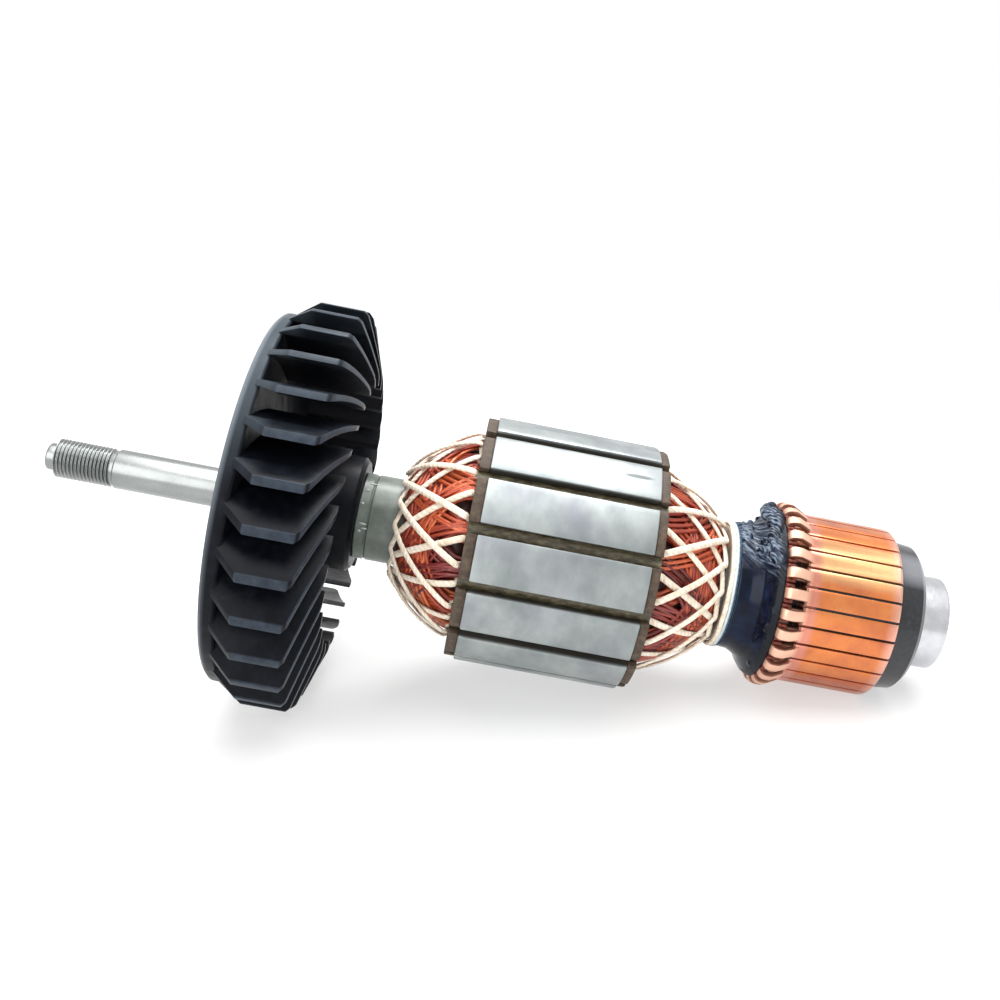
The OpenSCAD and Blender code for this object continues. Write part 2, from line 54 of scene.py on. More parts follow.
mounts = {mount["name"]: Vector(mount["pos_m"]) for mount in frame["record"]["mounts"]}
shaft_way = (mounts["bearing_outside"] - mounts["pinion_seat"]).normalized()
core_face = mounts["pinion_seat"] - shaft_way * PINION_STATION * MM
side_way = Vector((0, 1, 0))
down_way = side_way.cross(shaft_way)
SHAFT_FRAME = Matrix.Translation(core_face) @ Matrix((
    (down_way.x * MM, side_way.x * MM, shaft_way.x * MM, 0),
    (down_way.y * MM, side_way.y * MM, shaft_way.y * MM, 0),
    (down_way.z * MM, side_way.z * MM, shaft_way.z * MM, 0),
    (0, 0, 0, 1),
))


def start_piece(name):
    """Names the piece just added, with nothing else selected."""
    piece = bpy.context.object
    piece.name = name
    piece.data.name = name
    return piece


def pick(piece):
    """Selects one piece alone, for the operators that follow."""
    bpy.ops.object.select_all(action="DESELECT")
    piece.select_set(True)
    bpy.context.view_layer.objects.active = piece


def lay(piece):
    """Takes a finished upright piece to its place on the lying shaft."""
    pick(piece)
    piece.matrix_world = SHAFT_FRAME @ piece.matrix_world
    bpy.ops.object.transform_apply(location=True, rotation=True, scale=True)


def smooth(piece, degrees=35):
    """Shades a piece smooth, but for its edges that are sharper than an angle."""
    pick(piece)
    bpy.ops.object.shade_smooth_by_angle(angle=math.radians(degrees))


def paint(code):
    """A colour from its six-digit code, as the linear numbers that a socket takes."""
    parts = [int(code[i:i + 2], 16) / 255 for i in (0, 2, 4)]
    return [c / 12.92 if c <= 0.04045 else ((c + 0.055) / 1.055) ** 2.4 for c in parts] + [1]


# ---- Studio ----
# The armature lies on a white table under soft lamps, seen from the front and a little above.
# The camera is turned about the shaft and stands square to a point near the core's fan side.

CAMERA_FOOT = 1.435
CAMERA_AWAY = 233.6
CAMERA_RAISED = math.radians(20.7)
CAMERA_YAW = math.radians(-2.566)
CAMERA_PITCH = math.radians(-4.891)
CAMERA_ROLL = math.radians(10.752)
CAMERA_LENS = 40.83
CAMERA_SHIFT = (-0.0418, -0.0496)

bpy.context.scene.view_settings.view_transform = "Standard"

across = shaft_way
up_way = -down_way
depth_way = side_way * math.cos(CAMERA_RAISED) - up_way * math.sin(CAMERA_RAISED)
rise_way = side_way * math.sin(CAMERA_RAISED) + up_way * math.cos(CAMERA_RAISED)
eye_right = across * math.cos(CAMERA_YAW) + depth_way * math.sin(CAMERA_YAW)
eye_ahead = depth_way * math.cos(CAMERA_YAW) - across * math.sin(CAMERA_YAW)
pitched_ahead = eye_ahead * math.cos(CAMERA_PITCH) - rise_way * math.sin(CAMERA_PITCH)
pitched_up = rise_way * math.cos(CAMERA_PITCH) + eye_ahead * math.sin(CAMERA_PITCH)
rolled_right = eye_right * math.cos(CAMERA_ROLL) + pitched_up * math.sin(CAMERA_ROLL)
rolled_up = pitched_up * math.cos(CAMERA_ROLL) - eye_right * math.sin(CAMERA_ROLL)

bpy.ops.object.select_all(action="DESELECT")
bpy.ops.object.camera_add()
camera = start_piece("camera")
camera.matrix_world = Matrix.Translation(
    core_face + (across * CAMERA_FOOT - depth_way * CAMERA_AWAY) * MM
) @ Matrix((rolled_right, rolled_up, -pitched_ahead)).transposed().to_4x4()
camera.data.sensor_width = 36
camera.data.lens = CAMERA_LENS
camera.data.shift_x, camera.data.shift_y = CAMERA_SHIFT
camera.data.clip_start = 0.01
bpy.context.scene.camera = camera


def node(material, kind, links=(), **settings):
    """Adds a node. Its links give each socket a number, a colour or another node's socket."""
    added = material.node_tree.nodes.new("ShaderNode" + kind)
    for key, value in settings.items():
        setattr(added, key, value)
    for socket, value in dict(links).items():
        if isinstance(value, bpy.types.NodeSocket):
            material.node_tree.links.new(value, added.inputs[socket])
        else:
            added.inputs[socket].default_value = value
    return added


def math_node(material, operation, first, second=0.0):
    """The result of one operation on two numbers or sockets."""
    return node(material, "Math", {0: first, 1: second}, operation=operation).outputs[0]


def times(material, first, second):
    """Two numbers or sockets multiplied."""
    return math_node(material, "MULTIPLY", first, second)


def rays_that_look(material):
    """1 for the rays that show what they meet: the camera's, and those mirrored or let through."""
    rays = node(material, "LightPath").outputs
    look = math_node(material, "MAXIMUM", rays["Is Camera Ray"], rays["Is Glossy Ray"])
    return math_node(material, "MAXIMUM", look, rays["Is Transmission Ray"])


FLOOR_FADE_FROM = 0.16
FLOOR_FADE_TO = 0.7
bpy.ops.mesh.primitive_plane_add(size=6)
floor = start_piece("floor")
floor_paint = bpy.data.materials.new("white_table")
floor_paint.use_nodes = True
floor_shader = floor_paint.node_tree.nodes["Principled BSDF"]
floor_shader.inputs["Base Color"].default_value = (0.93, 0.93, 0.93, 1)
floor_shader.inputs["Roughness"].default_value = 0.75
floor_spot = node(floor_paint, "TexCoord").outputs["Object"]
floor_away = node(floor_paint, "VectorMath", {0: floor_spot}, operation="LENGTH").outputs["Value"]
floor_fade = node(floor_paint, "MapRange", {
    "Value": floor_away, "From Min": FLOOR_FADE_FROM, "From Max": FLOOR_FADE_TO,
    "To Min": 0.55, "To Max": 1.0}, interpolation_type="SMOOTHSTEP").outputs[0]
floor_glow = node(floor_paint, "Emission", {"Color": (1, 1, 1, 1), "Strength": 1.0})
floor_mix = node(floor_paint, "MixShader", {
    0: times(floor_paint, floor_fade, rays_that_look(floor_paint)),
    1: floor_shader.outputs[0], 2: floor_glow.outputs[0]})
floor_paint.node_tree.links.new(
    floor_mix.outputs[0], floor_paint.node_tree.nodes["Material Output"].inputs["Surface"])
floor.data.materials.append(floor_paint)

studio = bpy.data.worlds.new("studio")
studio.use_nodes = True
bpy.context.scene.world = studio
backdrop = studio.node_tree.nodes["Background"]
backdrop.inputs["Color"].default_value = (1, 1, 1, 1)
backdrop.inputs["Strength"].default_value = 0.55
white_back = node(studio, "Background", {"Color": (1, 1, 1, 1), "Strength": 1.0})
sky_mix = node(studio, "MixShader", {
    0: rays_that_look(studio), 1: backdrop.outputs[0], 2: white_back.outputs[0]})
studio.node_tree.links.new(
    sky_mix.outputs[0], studio.node_tree.nodes["World Output"].inputs["Surface"])

# (name, place in metres, size in metres, watts): a wide soft box overhead, one at the front left,
# and a small one behind the top that draws the upper edges
for name, place, size, watts in (
        ("top_box", (0.05, 0.0, 0.6), 0.72, 6.4),
        ("front_box", (-0.35, -0.45, 0.3), 0.5, 2.3),
        ("rim_strip", (0.1, 0.2, 0.5), 0.2, 1.6)):
    bpy.ops.object.light_add(type="AREA", location=place)
    lamp = start_piece(name)
    lamp.data.size = size
    lamp.data.energy = watts
    lamp.rotation_euler = (Vector((0, 0, 0.03)) - Vector(place)).to_track_quat("-Z", "Y").to_euler()


# ---- Shaft ----
# The shaft is turned from one steel bar and ground where the pinion and the bearing sit. Its
# fan-side end has a rolled thread with a fine pitch for the nut that holds the wheel's gear.

def face_out():
    """Turns all faces of the piece that is open in edit mode outwards, and closes it."""
    bpy.ops.mesh.select_all(action="SELECT")
    bpy.ops.mesh.normals_make_consistent(inside=False)
    bpy.ops.object.mode_set(mode="OBJECT")


def worked(piece, kind, name, **settings):
    """Puts a modifier on a piece with its settings and applies it."""
    pick(piece)
    modifier = piece.modifiers.new(name, kind)
    for key, value in settings.items():
        setattr(modifier, key, value)
    bpy.ops.object.modifier_apply(modifier=name)


def joined_to(piece, others):
    """Makes a piece and others one mesh."""
    pick(piece)
    for other in others:
        other.select_set(True)
    bpy.ops.object.join()


def turned(name, profile, sides=96, hollow=False):
    """Turns a piece ring by ring from (station, radius) pairs, upright about the shaft's line."""
    station, radius = profile[0]
    bpy.ops.object.select_all(action="DESELECT")
    bpy.ops.mesh.primitive_circle_add(
        vertices=sides, radius=radius, location=(0, 0, station),
        fill_type="NOTHING" if hollow else "NGON")
    piece = start_piece(name)
    bpy.ops.object.mode_set(mode="EDIT")
    for next_station, next_radius in profile[1:]:
        bpy.ops.mesh.extrude_region_move(
            TRANSFORM_OT_translate={"value": (0, 0, next_station - station)})
        grow = next_radius / radius
        bpy.ops.transform.resize(value=(grow, grow, 1), center_override=(0, 0, next_station))
        station, radius = next_station, next_radius
    bpy.ops.mesh.select_all(action="SELECT")
    bpy.ops.mesh.remove_doubles(threshold=0.002)
    face_out()
    return piece


SEAT_R = 4.0
THREAD_R = 3.93
THREAD_PITCH = 0.75
THREAD_ROOT = 3.52
THREAD_FROM = -83.4
THREAD_TO = -72.5
THREAD_SIDES = 48
SHAFT_END = 99.45

shaft = turned("turned_shaft", [
    (-85.45, 2.1), (-85.4, 2.4), (-85.25, 2.62), (-85.0, 2.7), (-83.6, 2.72), (-83.4, 2.9),
    (-83.1, THREAD_ROOT - 0.05), (-72.7, THREAD_ROOT - 0.05), (-72.5, 3.6), (-71.8, 3.6),
    (-71.65, 3.66), (-71.55, 3.8), (-71.5, 3.93), (-71.35, SEAT_R), (-46.6, SEAT_R),
    (-46.5, SEAT_R + 0.1), (-46.4, 5), (91.35, 5), (91.4, 4.1), (92.4, 4.1), (92.45, 3.5),
    (99.05, 3.5), (99.25, 3.44), (99.38, 3.3), (SHAFT_END, 3.1)])

bpy.ops.object.select_all(action="DESELECT")
bpy.ops.mesh.primitive_plane_add(size=1)
thread = start_piece("thread")
bpy.ops.object.mode_set(mode="EDIT")
bpy.ops.mesh.merge(type="CENTER")
bpy.ops.transform.translate(value=(THREAD_ROOT, 0, THREAD_FROM - THREAD_PITCH))
for out, on in ((0.02, 0.06), (THREAD_R - THREAD_ROOT - 0.04, 0.24), (0.02, 0.06),
                (-0.02, 0.06), (THREAD_ROOT - THREAD_R + 0.04, 0.24), (-0.02, 0.09)):
    bpy.ops.mesh.extrude_region_move(TRANSFORM_OT_translate={"value": (out, 0, on)})
bpy.ops.object.mode_set(mode="OBJECT")
worked(thread, "SCREW", "thread_turns", axis="Z", screw_offset=THREAD_PITCH,
       iterations=int((THREAD_TO - THREAD_FROM) / THREAD_PITCH) + 3,
       steps=THREAD_SIDES, render_steps=THREAD_SIDES, use_merge_vertices=True, merge_threshold=0.001)
bpy.ops.object.mode_set(mode="EDIT")
bpy.ops.mesh.select_all(action="SELECT")
bpy.ops.mesh.remove_doubles(threshold=0.002)
bpy.ops.mesh.bisect(plane_co=(0, 0, THREAD_FROM), plane_no=(0, 0, 1),
                    use_fill=True, clear_inner=True)
bpy.ops.mesh.select_all(action="SELECT")
bpy.ops.mesh.bisect(plane_co=(0, 0, THREAD_TO), plane_no=(0, 0, 1),
                    use_fill=True, clear_outer=True)
face_out()
joined_to(shaft, [thread])
lay(shaft)
smooth(shaft, 40)


def new_paint(name, **sockets):
    """A new material, with the numbers and colours that hold all over it set on its shader."""
    material = bpy.data.materials.new(name)
    material.use_nodes = True
    shader = material.node_tree.nodes["Principled BSDF"]
    for socket, value in sockets.items():
        shader.inputs[socket.replace("_", " ")].default_value = value
    return material


def wire_up(material, **sockets):
    """Links other nodes' sockets to the shader."""
    shader = material.node_tree.nodes["Principled BSDF"]
    for socket, value in sockets.items():
        material.node_tree.links.new(value, shader.inputs[socket.replace("_", " ")])


def shaft_spot(material):
    """Where a point is in millimetres about the shaft: across, across, and its station."""
    spot = node(material, "TexCoord").outputs["Object"]
    return node(material, "Mapping", {
        "Vector": spot, "Location": core_face, "Scale": (MM, MM, MM),
        "Rotation": SHAFT_FRAME.to_3x3().normalized().to_euler()}, vector_type="TEXTURE").outputs[0]


def plus(material, first, second):
    """Two numbers or sockets added."""
    return math_node(material, "ADD", first, second)


def unrolled(material):
    """A point's (angle round the shaft, station along it, radius from it)."""
    parts = node(material, "SeparateXYZ", {0: shaft_spot(material)}).outputs
    angle = math_node(material, "ARCTAN2", parts[1], parts[0])
    squares = plus(material, math_node(material, "POWER", parts[0], 2.0),
                   math_node(material, "POWER", parts[1], 2.0))
    return angle, parts[2], math_node(material, "SQRT", squares)


def joined(material, x, y, z):
    """The place that a pattern reads, from its three measures."""
    return node(material, "CombineXYZ", {0: x, 1: y, 2: z}).outputs[0]


def noise(material, vector, scale, detail=4.0, roughness=0.55):
    """An uneven pattern of patches, as many to a millimetre as its scale says."""
    return node(material, "TexNoise", {
        "Vector": vector, "Scale": scale, "Detail": detail, "Roughness": roughness}).outputs[0]


def ramp(material, factor, *stops):
    """A run of colours along a factor, from (place, colour code) pairs."""
    made = node(material, "ValToRGB", {0: factor})
    band = made.color_ramp
    band.elements[0].position, band.elements[0].color = stops[0][0], paint(stops[0][1])
    band.elements[1].position, band.elements[1].color = stops[-1][0], paint(stops[-1][1])
    for place, code in stops[1:-1]:
        band.elements.new(place).color = paint(code)
    return made.outputs[0]


def spread(material, value, low, high, to_low, to_high):
    """A number taken from one range to another."""
    return node(material, "MapRange", {
        "Value": value, "From Min": low, "From Max": high,
        "To Min": to_low, "To Max": to_high}).outputs[0]


def blend(material, share, first, second):
    """Two colours mixed by a share."""
    made = node(material, "Mix", data_type="RGBA")
    for index, value in ((0, share), (6, first), (7, second)):
        if isinstance(value, bpy.types.NodeSocket):
            material.node_tree.links.new(value, made.inputs[index])
        else:
            made.inputs[index].default_value = value
    return made.outputs[2]


def bump(material, height, depth, strength=1.0):
    """Raises the surface by a height, in metres at its full reach."""
    return node(material, "Bump", {
        "Height": height, "Distance": depth, "Strength": strength}).outputs[0]


def dressed(piece, material):
    """Gives a piece its one finish and its slot, and sets it on the turning armature."""
    piece.data.materials.clear()
    piece.data.materials.append(material)
    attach(piece, "armature")


def refinished(node_name, material):
    """Gives a carried CAD solid its finish."""
    for place in frame["nodes"][node_name].material_slots:
        place.material = material


steel = new_paint("ground_steel", Metallic=1.0)
angle, station, radius = unrolled(steel)
turning = noise(steel, joined(steel, times(steel, angle, 0.4), station, 0.0), 9.0, 5.0)
clouding = noise(steel, joined(steel, angle, times(steel, station, 0.12), 2.0), 0.8, 3.0)
steel_tone = ramp(steel, clouding, (0.3, "858887"), (0.55, "939695"), (0.8, "a0a3a2"))
in_thread = math_node(steel, "LESS_THAN", station, THREAD_TO)
# Painted shade: the thread is painted darker towards its roots, darkest at the root
painted_root_shade = times(steel, in_thread, spread(steel, radius, THREAD_ROOT, THREAD_R, 0.25, 0.0))
wire_up(steel,
        Base_Color=blend(steel, painted_root_shade, steel_tone, paint("4d504f")),
        Roughness=spread(steel, turning, 0.3, 0.7, 0.24, 0.36),
        Normal=bump(steel, turning, 0.000008, 0.4))
dressed(shaft, steel)
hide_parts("shaft")


# ---- Fan ----
# The fan is one moulding of dark glass-filled nylon, pressed on the shaft's shoulder. Its thirty
# blades lean back from the eye to the rim and stand on a disc with a thin, slightly worn edge.
# Its blade tips and the upper side of the disc's edge and rim are painted lighter, partly as wear
# and dust, partly as painted highlight.

SHARP_FROM = math.radians(30)


def moulded_copy(node_name, name, edge):
    """A copy of a CAD solid with its faces merged and its sharp edges rounded."""
    bpy.ops.object.select_all(action="DESELECT")
    source = frame["nodes"][node_name]
    piece = bpy.data.objects.new(name, source.data.copy())
    bpy.context.collection.objects.link(piece)
    pick(piece)
    piece.data.name = name
    bpy.ops.mesh.customdata_custom_splitnormals_clear()
    bpy.ops.object.mode_set(mode="EDIT")
    bpy.ops.mesh.select_all(action="SELECT")
    bpy.ops.mesh.remove_doubles(threshold=0.003 * MM)
    bpy.ops.mesh.dissolve_limited(angle_limit=math.radians(1.5))
    bpy.ops.object.mode_set(mode="OBJECT")
    worked(piece, "BEVEL", "rounded_edges", width=edge * MM, segments=2, limit_method="ANGLE",
           angle_limit=SHARP_FROM, use_clamp_overlap=True)
    bpy.ops.object.mode_set(mode="EDIT")
    bpy.ops.mesh.select_all(action="SELECT")
    bpy.ops.mesh.quads_convert_to_tris()
    face_out()
    return piece


def facing(material, angle, degrees):
    """1 where the surface lies at an angle round the shaft, and less the further round it is."""
    away = math_node(material, "SUBTRACT", angle, math.radians(degrees))
    return math_node(material, "COSINE", away)


FAN_EDGE = 0.16
FAN_R = 40.9
DISC_R = 37.5
DISC_FACE = -43.6
BLADE_FLAT_TO = -27.53
BLADE_SLOPE = 2.92
DUST_AND_HIGHLIGHT_TURN = -165
DUST_AND_HIGHLIGHT_THINS_FROM = -38.5
DUST_AND_HIGHLIGHT_THINS_TO = -36.0
fan = moulded_copy("cooling_fan", "fan", FAN_EDGE)
smooth(fan, 30)

nylon = new_paint("dark_nylon", Specular_IOR_Level=0.1)
spot = shaft_spot(nylon)
angle, station, radius = unrolled(nylon)
mottle = noise(nylon, spot, 0.5, 5.0, 0.6)
grain = noise(nylon, spot, 14.0, 3.0, 0.6)
nylon_tone = ramp(nylon, mottle, (0.3, "07080c"), (0.5, "0b0d13"), (0.72, "12151c"))
slope_r = times(nylon, math_node(nylon, "SUBTRACT", station, BLADE_FLAT_TO), BLADE_SLOPE)
slope_r = math_node(nylon, "SUBTRACT", FAN_R, math_node(nylon, "MAXIMUM", slope_r, 0.0))
# Blade tips painted a lighter grey-blue: partly wear, partly a painted highlight of their lit edges
tip_wear_and_highlight = spread(nylon, math_node(nylon, "SUBTRACT", radius, slope_r), -0.35, -0.1, 0.0, 1.0)
tip_wear_and_highlight = times(nylon, tip_wear_and_highlight, spread(nylon, mottle, 0.35, 0.65, 0.5, 0.9))
nylon_tone = blend(nylon, tip_wear_and_highlight, nylon_tone, paint("343c46"))
# Dust with painted highlight: the disc's edge and rim are painted lighter on their upper side, facing
# the light
upper_side = facing(nylon, angle, DUST_AND_HIGHLIGHT_TURN)
settled_dust_and_highlight = times(nylon, spread(nylon, upper_side, 0.6, 0.97, 0.0, 0.65), times(
    nylon, spread(nylon, radius, DISC_R - 0.5, DISC_R - 0.1, 0.0, 1.0),
    spread(nylon, station, DUST_AND_HIGHLIGHT_THINS_FROM, DUST_AND_HIGHLIGHT_THINS_TO, 1.0, 0.25)))
nylon_tone = blend(nylon, settled_dust_and_highlight, nylon_tone, paint("434c53"))
rim_dust_and_highlight = times(nylon, spread(nylon, radius, DISC_R - 1.6, DISC_R - 0.2, 0.0, 0.7),
                 spread(nylon, station, DISC_FACE + 0.1, DISC_FACE + 1.2, 1.0, 0.0))
rim_dust_and_highlight = times(nylon, rim_dust_and_highlight, spread(nylon, upper_side, 0.3, 0.9, 0.4, 1.0))
wire_up(nylon,
        Base_Color=blend(nylon, rim_dust_and_highlight, nylon_tone, paint("828b93")),
        Roughness=spread(nylon, mottle, 0.3, 0.75, 0.3, 0.45),
        Normal=bump(nylon, grain, 0.00003, 0.35))
dressed(fan, nylon)
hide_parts("cooling_fan")


# ---- Insulating sleeves ----
# A tube of grey moulded insulation covers the shaft from the fan's hub to the core, and another
# runs behind the core. Drips of varnish from the winding have run along the front one and set.

def round_shaft(a, radius, station):
    """A point at an angle round the shaft, and the way out from the shaft there."""
    return (radius * math.cos(a), radius * math.sin(a), station), (math.cos(a), math.sin(a), 0)


SLEEVE_R = 8.75
SLEEVE_BORE = 5.02
SLEEVE_FROM = -22.0
sleeve = turned("shaft_sleeve", [
    (SLEEVE_FROM, SLEEVE_BORE), (SLEEVE_FROM, 8.35), (SLEEVE_FROM + 0.1, 8.6),
    (SLEEVE_FROM + 0.3, SLEEVE_R), (-20.0, SLEEVE_R), (-19.85, 8.6), (-19.75, 8.5), (-19.55, 8.5),
    (-19.4, 8.6), (-19.3, SLEEVE_R), (-15.5, SLEEVE_R + 0.02), (-12, SLEEVE_R - 0.02),
    (-6, SLEEVE_R), (0, SLEEVE_R), (0, SLEEVE_BORE), (SLEEVE_FROM, SLEEVE_BORE)], hollow=True)

# (degrees round the shaft, station, half its length, half its width) of each drip
drips = []
for turn, off, long, wide in (
        (-100, -20.4, 0.75, 0.2), (-94, -20.0, 0.6, 0.17), (-90, -20.9, 0.35, 0.3),
        (-146, -20.9, 0.45, 0.22), (-158, -19.9, 0.9, 0.18), (-126, -21.2, 0.3, 0.24),
        (-38, -20.6, 0.6, 0.2), (64, -20.3, 0.8, 0.2), (150, -20.8, 0.5, 0.25)):
    bpy.ops.mesh.primitive_uv_sphere_add(
        segments=14, ring_count=9, radius=wide, scale=(0.7, 1, long / wide),
        rotation=(math.radians(turn % 17 - 8), 0, math.radians(turn)),
        location=round_shaft(math.radians(turn), SLEEVE_R + 0.02, off)[0])
    drips.append(bpy.context.object)
joined_to(sleeve, drips)
lay(sleeve)
smooth(sleeve)

insulation = new_paint("grey_insulation", Specular_IOR_Level=0.4, Coat_Weight=0.2, Coat_Roughness=0.2)
spot = shaft_spot(insulation)
angle, station, radius = unrolled(insulation)
stain = noise(insulation, spot, 0.22, 4.0, 0.55)
speck = noise(insulation, spot, 5.0, 5.0, 0.7)
insulation_tone = ramp(insulation, stain, (0.3, "4b534c"), (0.5, "5c645d"), (0.7, "717971"))
dripped = math_node(insulation, "GREATER_THAN", radius, SLEEVE_R + 0.05)
insulation_tone = blend(insulation, dripped, insulation_tone, paint("aab0ab"))
wire_up(insulation,
        Base_Color=blend(insulation, spread(insulation, speck, 0.62, 0.85, 0.0, 0.35), insulation_tone,
                         paint("4c544f")),
        Roughness=spread(insulation, stain, 0.3, 0.7, 0.28, 0.42),
        Normal=bump(insulation, speck, 0.00002, 0.4))
dressed(sleeve, insulation)
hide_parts("front_sleeve")
for name in ("rear_sleeve", "core_tube"):
    refinished(name, insulation)


# ---- Core ----
# The core is a stack of half-millimetre steel stampings, pressed on its insulated shaft and ground
# true outside, which leaves the tooth faces bright with the edges of the sheets just showing.

TOOTH_EDGE = 0.3
TOOTH_R = 25
SHEET = 0.5
WAVE_FACTOR = 20    # what a Wave texture multiplies its place by
LENS_TURN = -153.7
LENS_STATION = 30.3
LENS_LONG = 3.4
LENS_WIDE = 0.6
stack = moulded_copy("lamination_stack", "core_stack", TOOTH_EDGE)
smooth(stack, 30)

sheets = new_paint("ground_sheets", Metallic=0.6, Specular_IOR_Level=0.5)
angle, station, radius = unrolled(sheets)
sheet_line = node(sheets, "TexWave", {
    "Vector": joined(sheets, station, 0.0, 0.0), "Scale": 2 * math.pi / SHEET / WAVE_FACTOR,
    "Distortion": 0.4, "Detail": 1.0}).outputs["Fac"]
smudge = noise(sheets, joined(sheets, times(sheets, angle, 16.0), station, 3.0), 0.1, 4.0, 0.6)
stain = noise(sheets, joined(sheets, times(sheets, angle, 22.0), station, 9.0), 0.09, 3.0, 0.5)
ground = noise(sheets, joined(sheets, times(sheets, angle, 26.0), times(sheets, station, 2.2), 0.0),
               2.4, 4.0, 0.6)
sheets_tone = ramp(sheets, smudge, (0.25, "717878"), (0.45, "858b8b"), (0.6, "979d9c"), (0.8, "a6abaa"))
sheets_tone = blend(sheets, spread(sheets, stain, 0.5, 0.68, 0.0, 0.45), sheets_tone, paint("6f6f7b"))
sheets_tone = blend(sheets, spread(sheets, ground, 0.45, 0.75, 0.0, 0.14), sheets_tone, paint("5f6567"))
# A dark lens-shaped patch on the tooth faces, at one angle round the core and one station along it
lens_across = times(sheets, math_node(
    sheets, "SUBTRACT", angle, math.radians(LENS_TURN)), TOOTH_R / LENS_WIDE)
lens_along = math_node(sheets, "DIVIDE", math_node(sheets, "SUBTRACT", station, LENS_STATION), LENS_LONG)
dark_lens = plus(sheets, times(sheets, lens_across, lens_across), times(sheets, lens_along, lens_along))
dark_lens = plus(sheets, dark_lens, spread(sheets, ground, 0.3, 0.7, -0.25, 0.25))
sheets_tone = blend(sheets, spread(sheets, dark_lens, 0.35, 1.0, 0.8, 0.0), sheets_tone, paint("474d4e"))
under_face = spread(sheets, radius, TOOTH_R - 0.7, TOOTH_R - 0.25, 1.0, 0.0)
wire_up(sheets,
        Base_Color=blend(sheets, times(sheets, under_face, 0.85), sheets_tone, paint("3d372f")),
        Roughness=spread(sheets, smudge, 0.3, 0.7, 0.46, 0.36),
        Normal=bump(sheets, plus(sheets, times(sheets, sheet_line, 0.5), ground), 0.000012, 0.4))
dressed(stack, sheets)
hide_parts("lamination_stack")

PLATE_EDGE = 0.2
fibre = new_paint("brown_fibre", Specular_IOR_Level=0.3)
fibre_fleck = noise(fibre, shaft_spot(fibre), 0.9, 6.0, 0.6)
wire_up(fibre,
        Base_Color=ramp(fibre, fibre_fleck, (0.3, "342a21"), (0.5, "463a2f"), (0.72, "5e4f41")),
        Roughness=spread(fibre, fibre_fleck, 0.3, 0.7, 0.5, 0.75),
        Normal=bump(fibre, fibre_fleck, 0.00008, 0.6))
for name in ("front_end_plate", "rear_end_plate"):
    plate = moulded_copy(name, name.replace("end_plate", "core_plate"), PLATE_EDGE)
    smooth(plate, 30)
    dressed(plate, fibre)
    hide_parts(name)

varnish = new_paint("varnished_wedge", Specular_IOR_Level=0.5)
angle, station, radius = unrolled(varnish)
varnish_run = noise(
    varnish, joined(varnish, times(varnish, angle, 20.0), times(varnish, station, 0.3), 0.0),
    1.5, 5.0, 0.6)
wire_up(varnish,
        Base_Color=ramp(varnish, varnish_run, (0.3, "2a251b"), (0.48, "484130"), (0.64, "656048"),
                        (0.85, "88836a")),
        Roughness=spread(varnish, varnish_run, 0.3, 0.7, 0.25, 0.55),
        Normal=bump(varnish, varnish_run, 0.00012, 0.7))
refinished("slot_wedges", varnish)

paper = new_paint("liner_paper", Specular_IOR_Level=0.3)
paper_grain = noise(paper, shaft_spot(paper), 3.0)
wire_up(paper,
        Base_Color=ramp(paper, paper_grain, (0.3, "7c5e38"), (0.7, "b08f5f")),
        Roughness=spread(paper, paper_grain, 0.3, 0.7, 0.5, 0.7),
        Normal=bump(paper, paper_grain, 0.00005, 0.5))
refinished("slot_liners", paper)


# ---- Winding heads ----
# The coils are wound by machine from enamelled copper wire, from slot to slot past the sleeve, and
# their loops pile up into a rounded head at each end of the core. Each coil crosses those before
# it, so its strands of parallel wires lie in layers that lean both ways.

SLOTS = 14
SLOT_PITCH = 360 / SLOTS
SLOT_TURN = 14.2
CORE_LENGTH = 36.8
WIRE = 0.84
WIRE_PITCH = 0.86
WIRES_IN_STRAND = 4
LAYER = WIRE * 0.8
LAYERS = ((0, 2), (2, 0), (1, 1), (0, 1), (1, 0), (2, 2))
COIL_SPAN = 6
COIL_STEPS = 13
COIL_MIDDLE_R = 19.4
SWAY = 0.1
MASS_DEEP = 1.9
HEAD_TOP = 21.4
LACE_THICK = 1.7

# (nearest radius to the shaft, degrees off the slot's middle) of the strands in a slot
SLOT_STRANDS = ((9.6, -2.6), (11.9, 2.4), (14.4, -0.2))

# Each head's inner radius, height, reach, roundness, cut-off, cord's pull and its side of the core
FRONT_HEAD = {"inner": 8.75, "height": HEAD_TOP - 8.75, "reach": 15.2, "power": 1.4, "cut": 15.2,
              "pull": 7.9975, "from": 0.0, "way": -1}
REAR_HEAD = {"inner": 9.0, "height": HEAD_TOP - 9.0, "reach": 17.5, "power": 1.3, "cut": 15.5,
             "pull": 8.802, "from": CORE_LENGTH, "way": 1}


def dome_radius(head, off, deep=0.0):
    """Radius of a head at a distance off the core, some way below the top of its lacing."""
    share = max(0.0, 1 - (max(off, 0.0) / (head["reach"] - deep)) ** head["power"])
    return head["inner"] + (head["height"] - deep) * share ** (1 / head["power"])


def dome_off(head, radius, deep=0.0):
    """How far off the core a head has that radius."""
    share = max(0.0, 1 - ((radius - head["inner"]) / (head["height"] - deep)) ** head["power"])
    return (head["reach"] - deep) * share ** (1 / head["power"])


def on_head(head, off, degrees, radius, slope):
    """A point over a head and the way out of it there, upright about the shaft."""
    turn = math.radians(degrees)
    out = Vector((1, -slope)).normalized()
    return (
        (radius * math.cos(turn), radius * math.sin(turn), head["from"] + head["way"] * off),
        (out.x * math.cos(turn), out.x * math.sin(turn), head["way"] * out.y))


def dome_slope(head, off, deep=0.0):
    """How steeply a head's radius falls there."""
    near, far = max(off - 0.1, 0), off + 0.1
    return (dome_radius(head, far, deep) - dome_radius(head, near, deep)) / 0.2


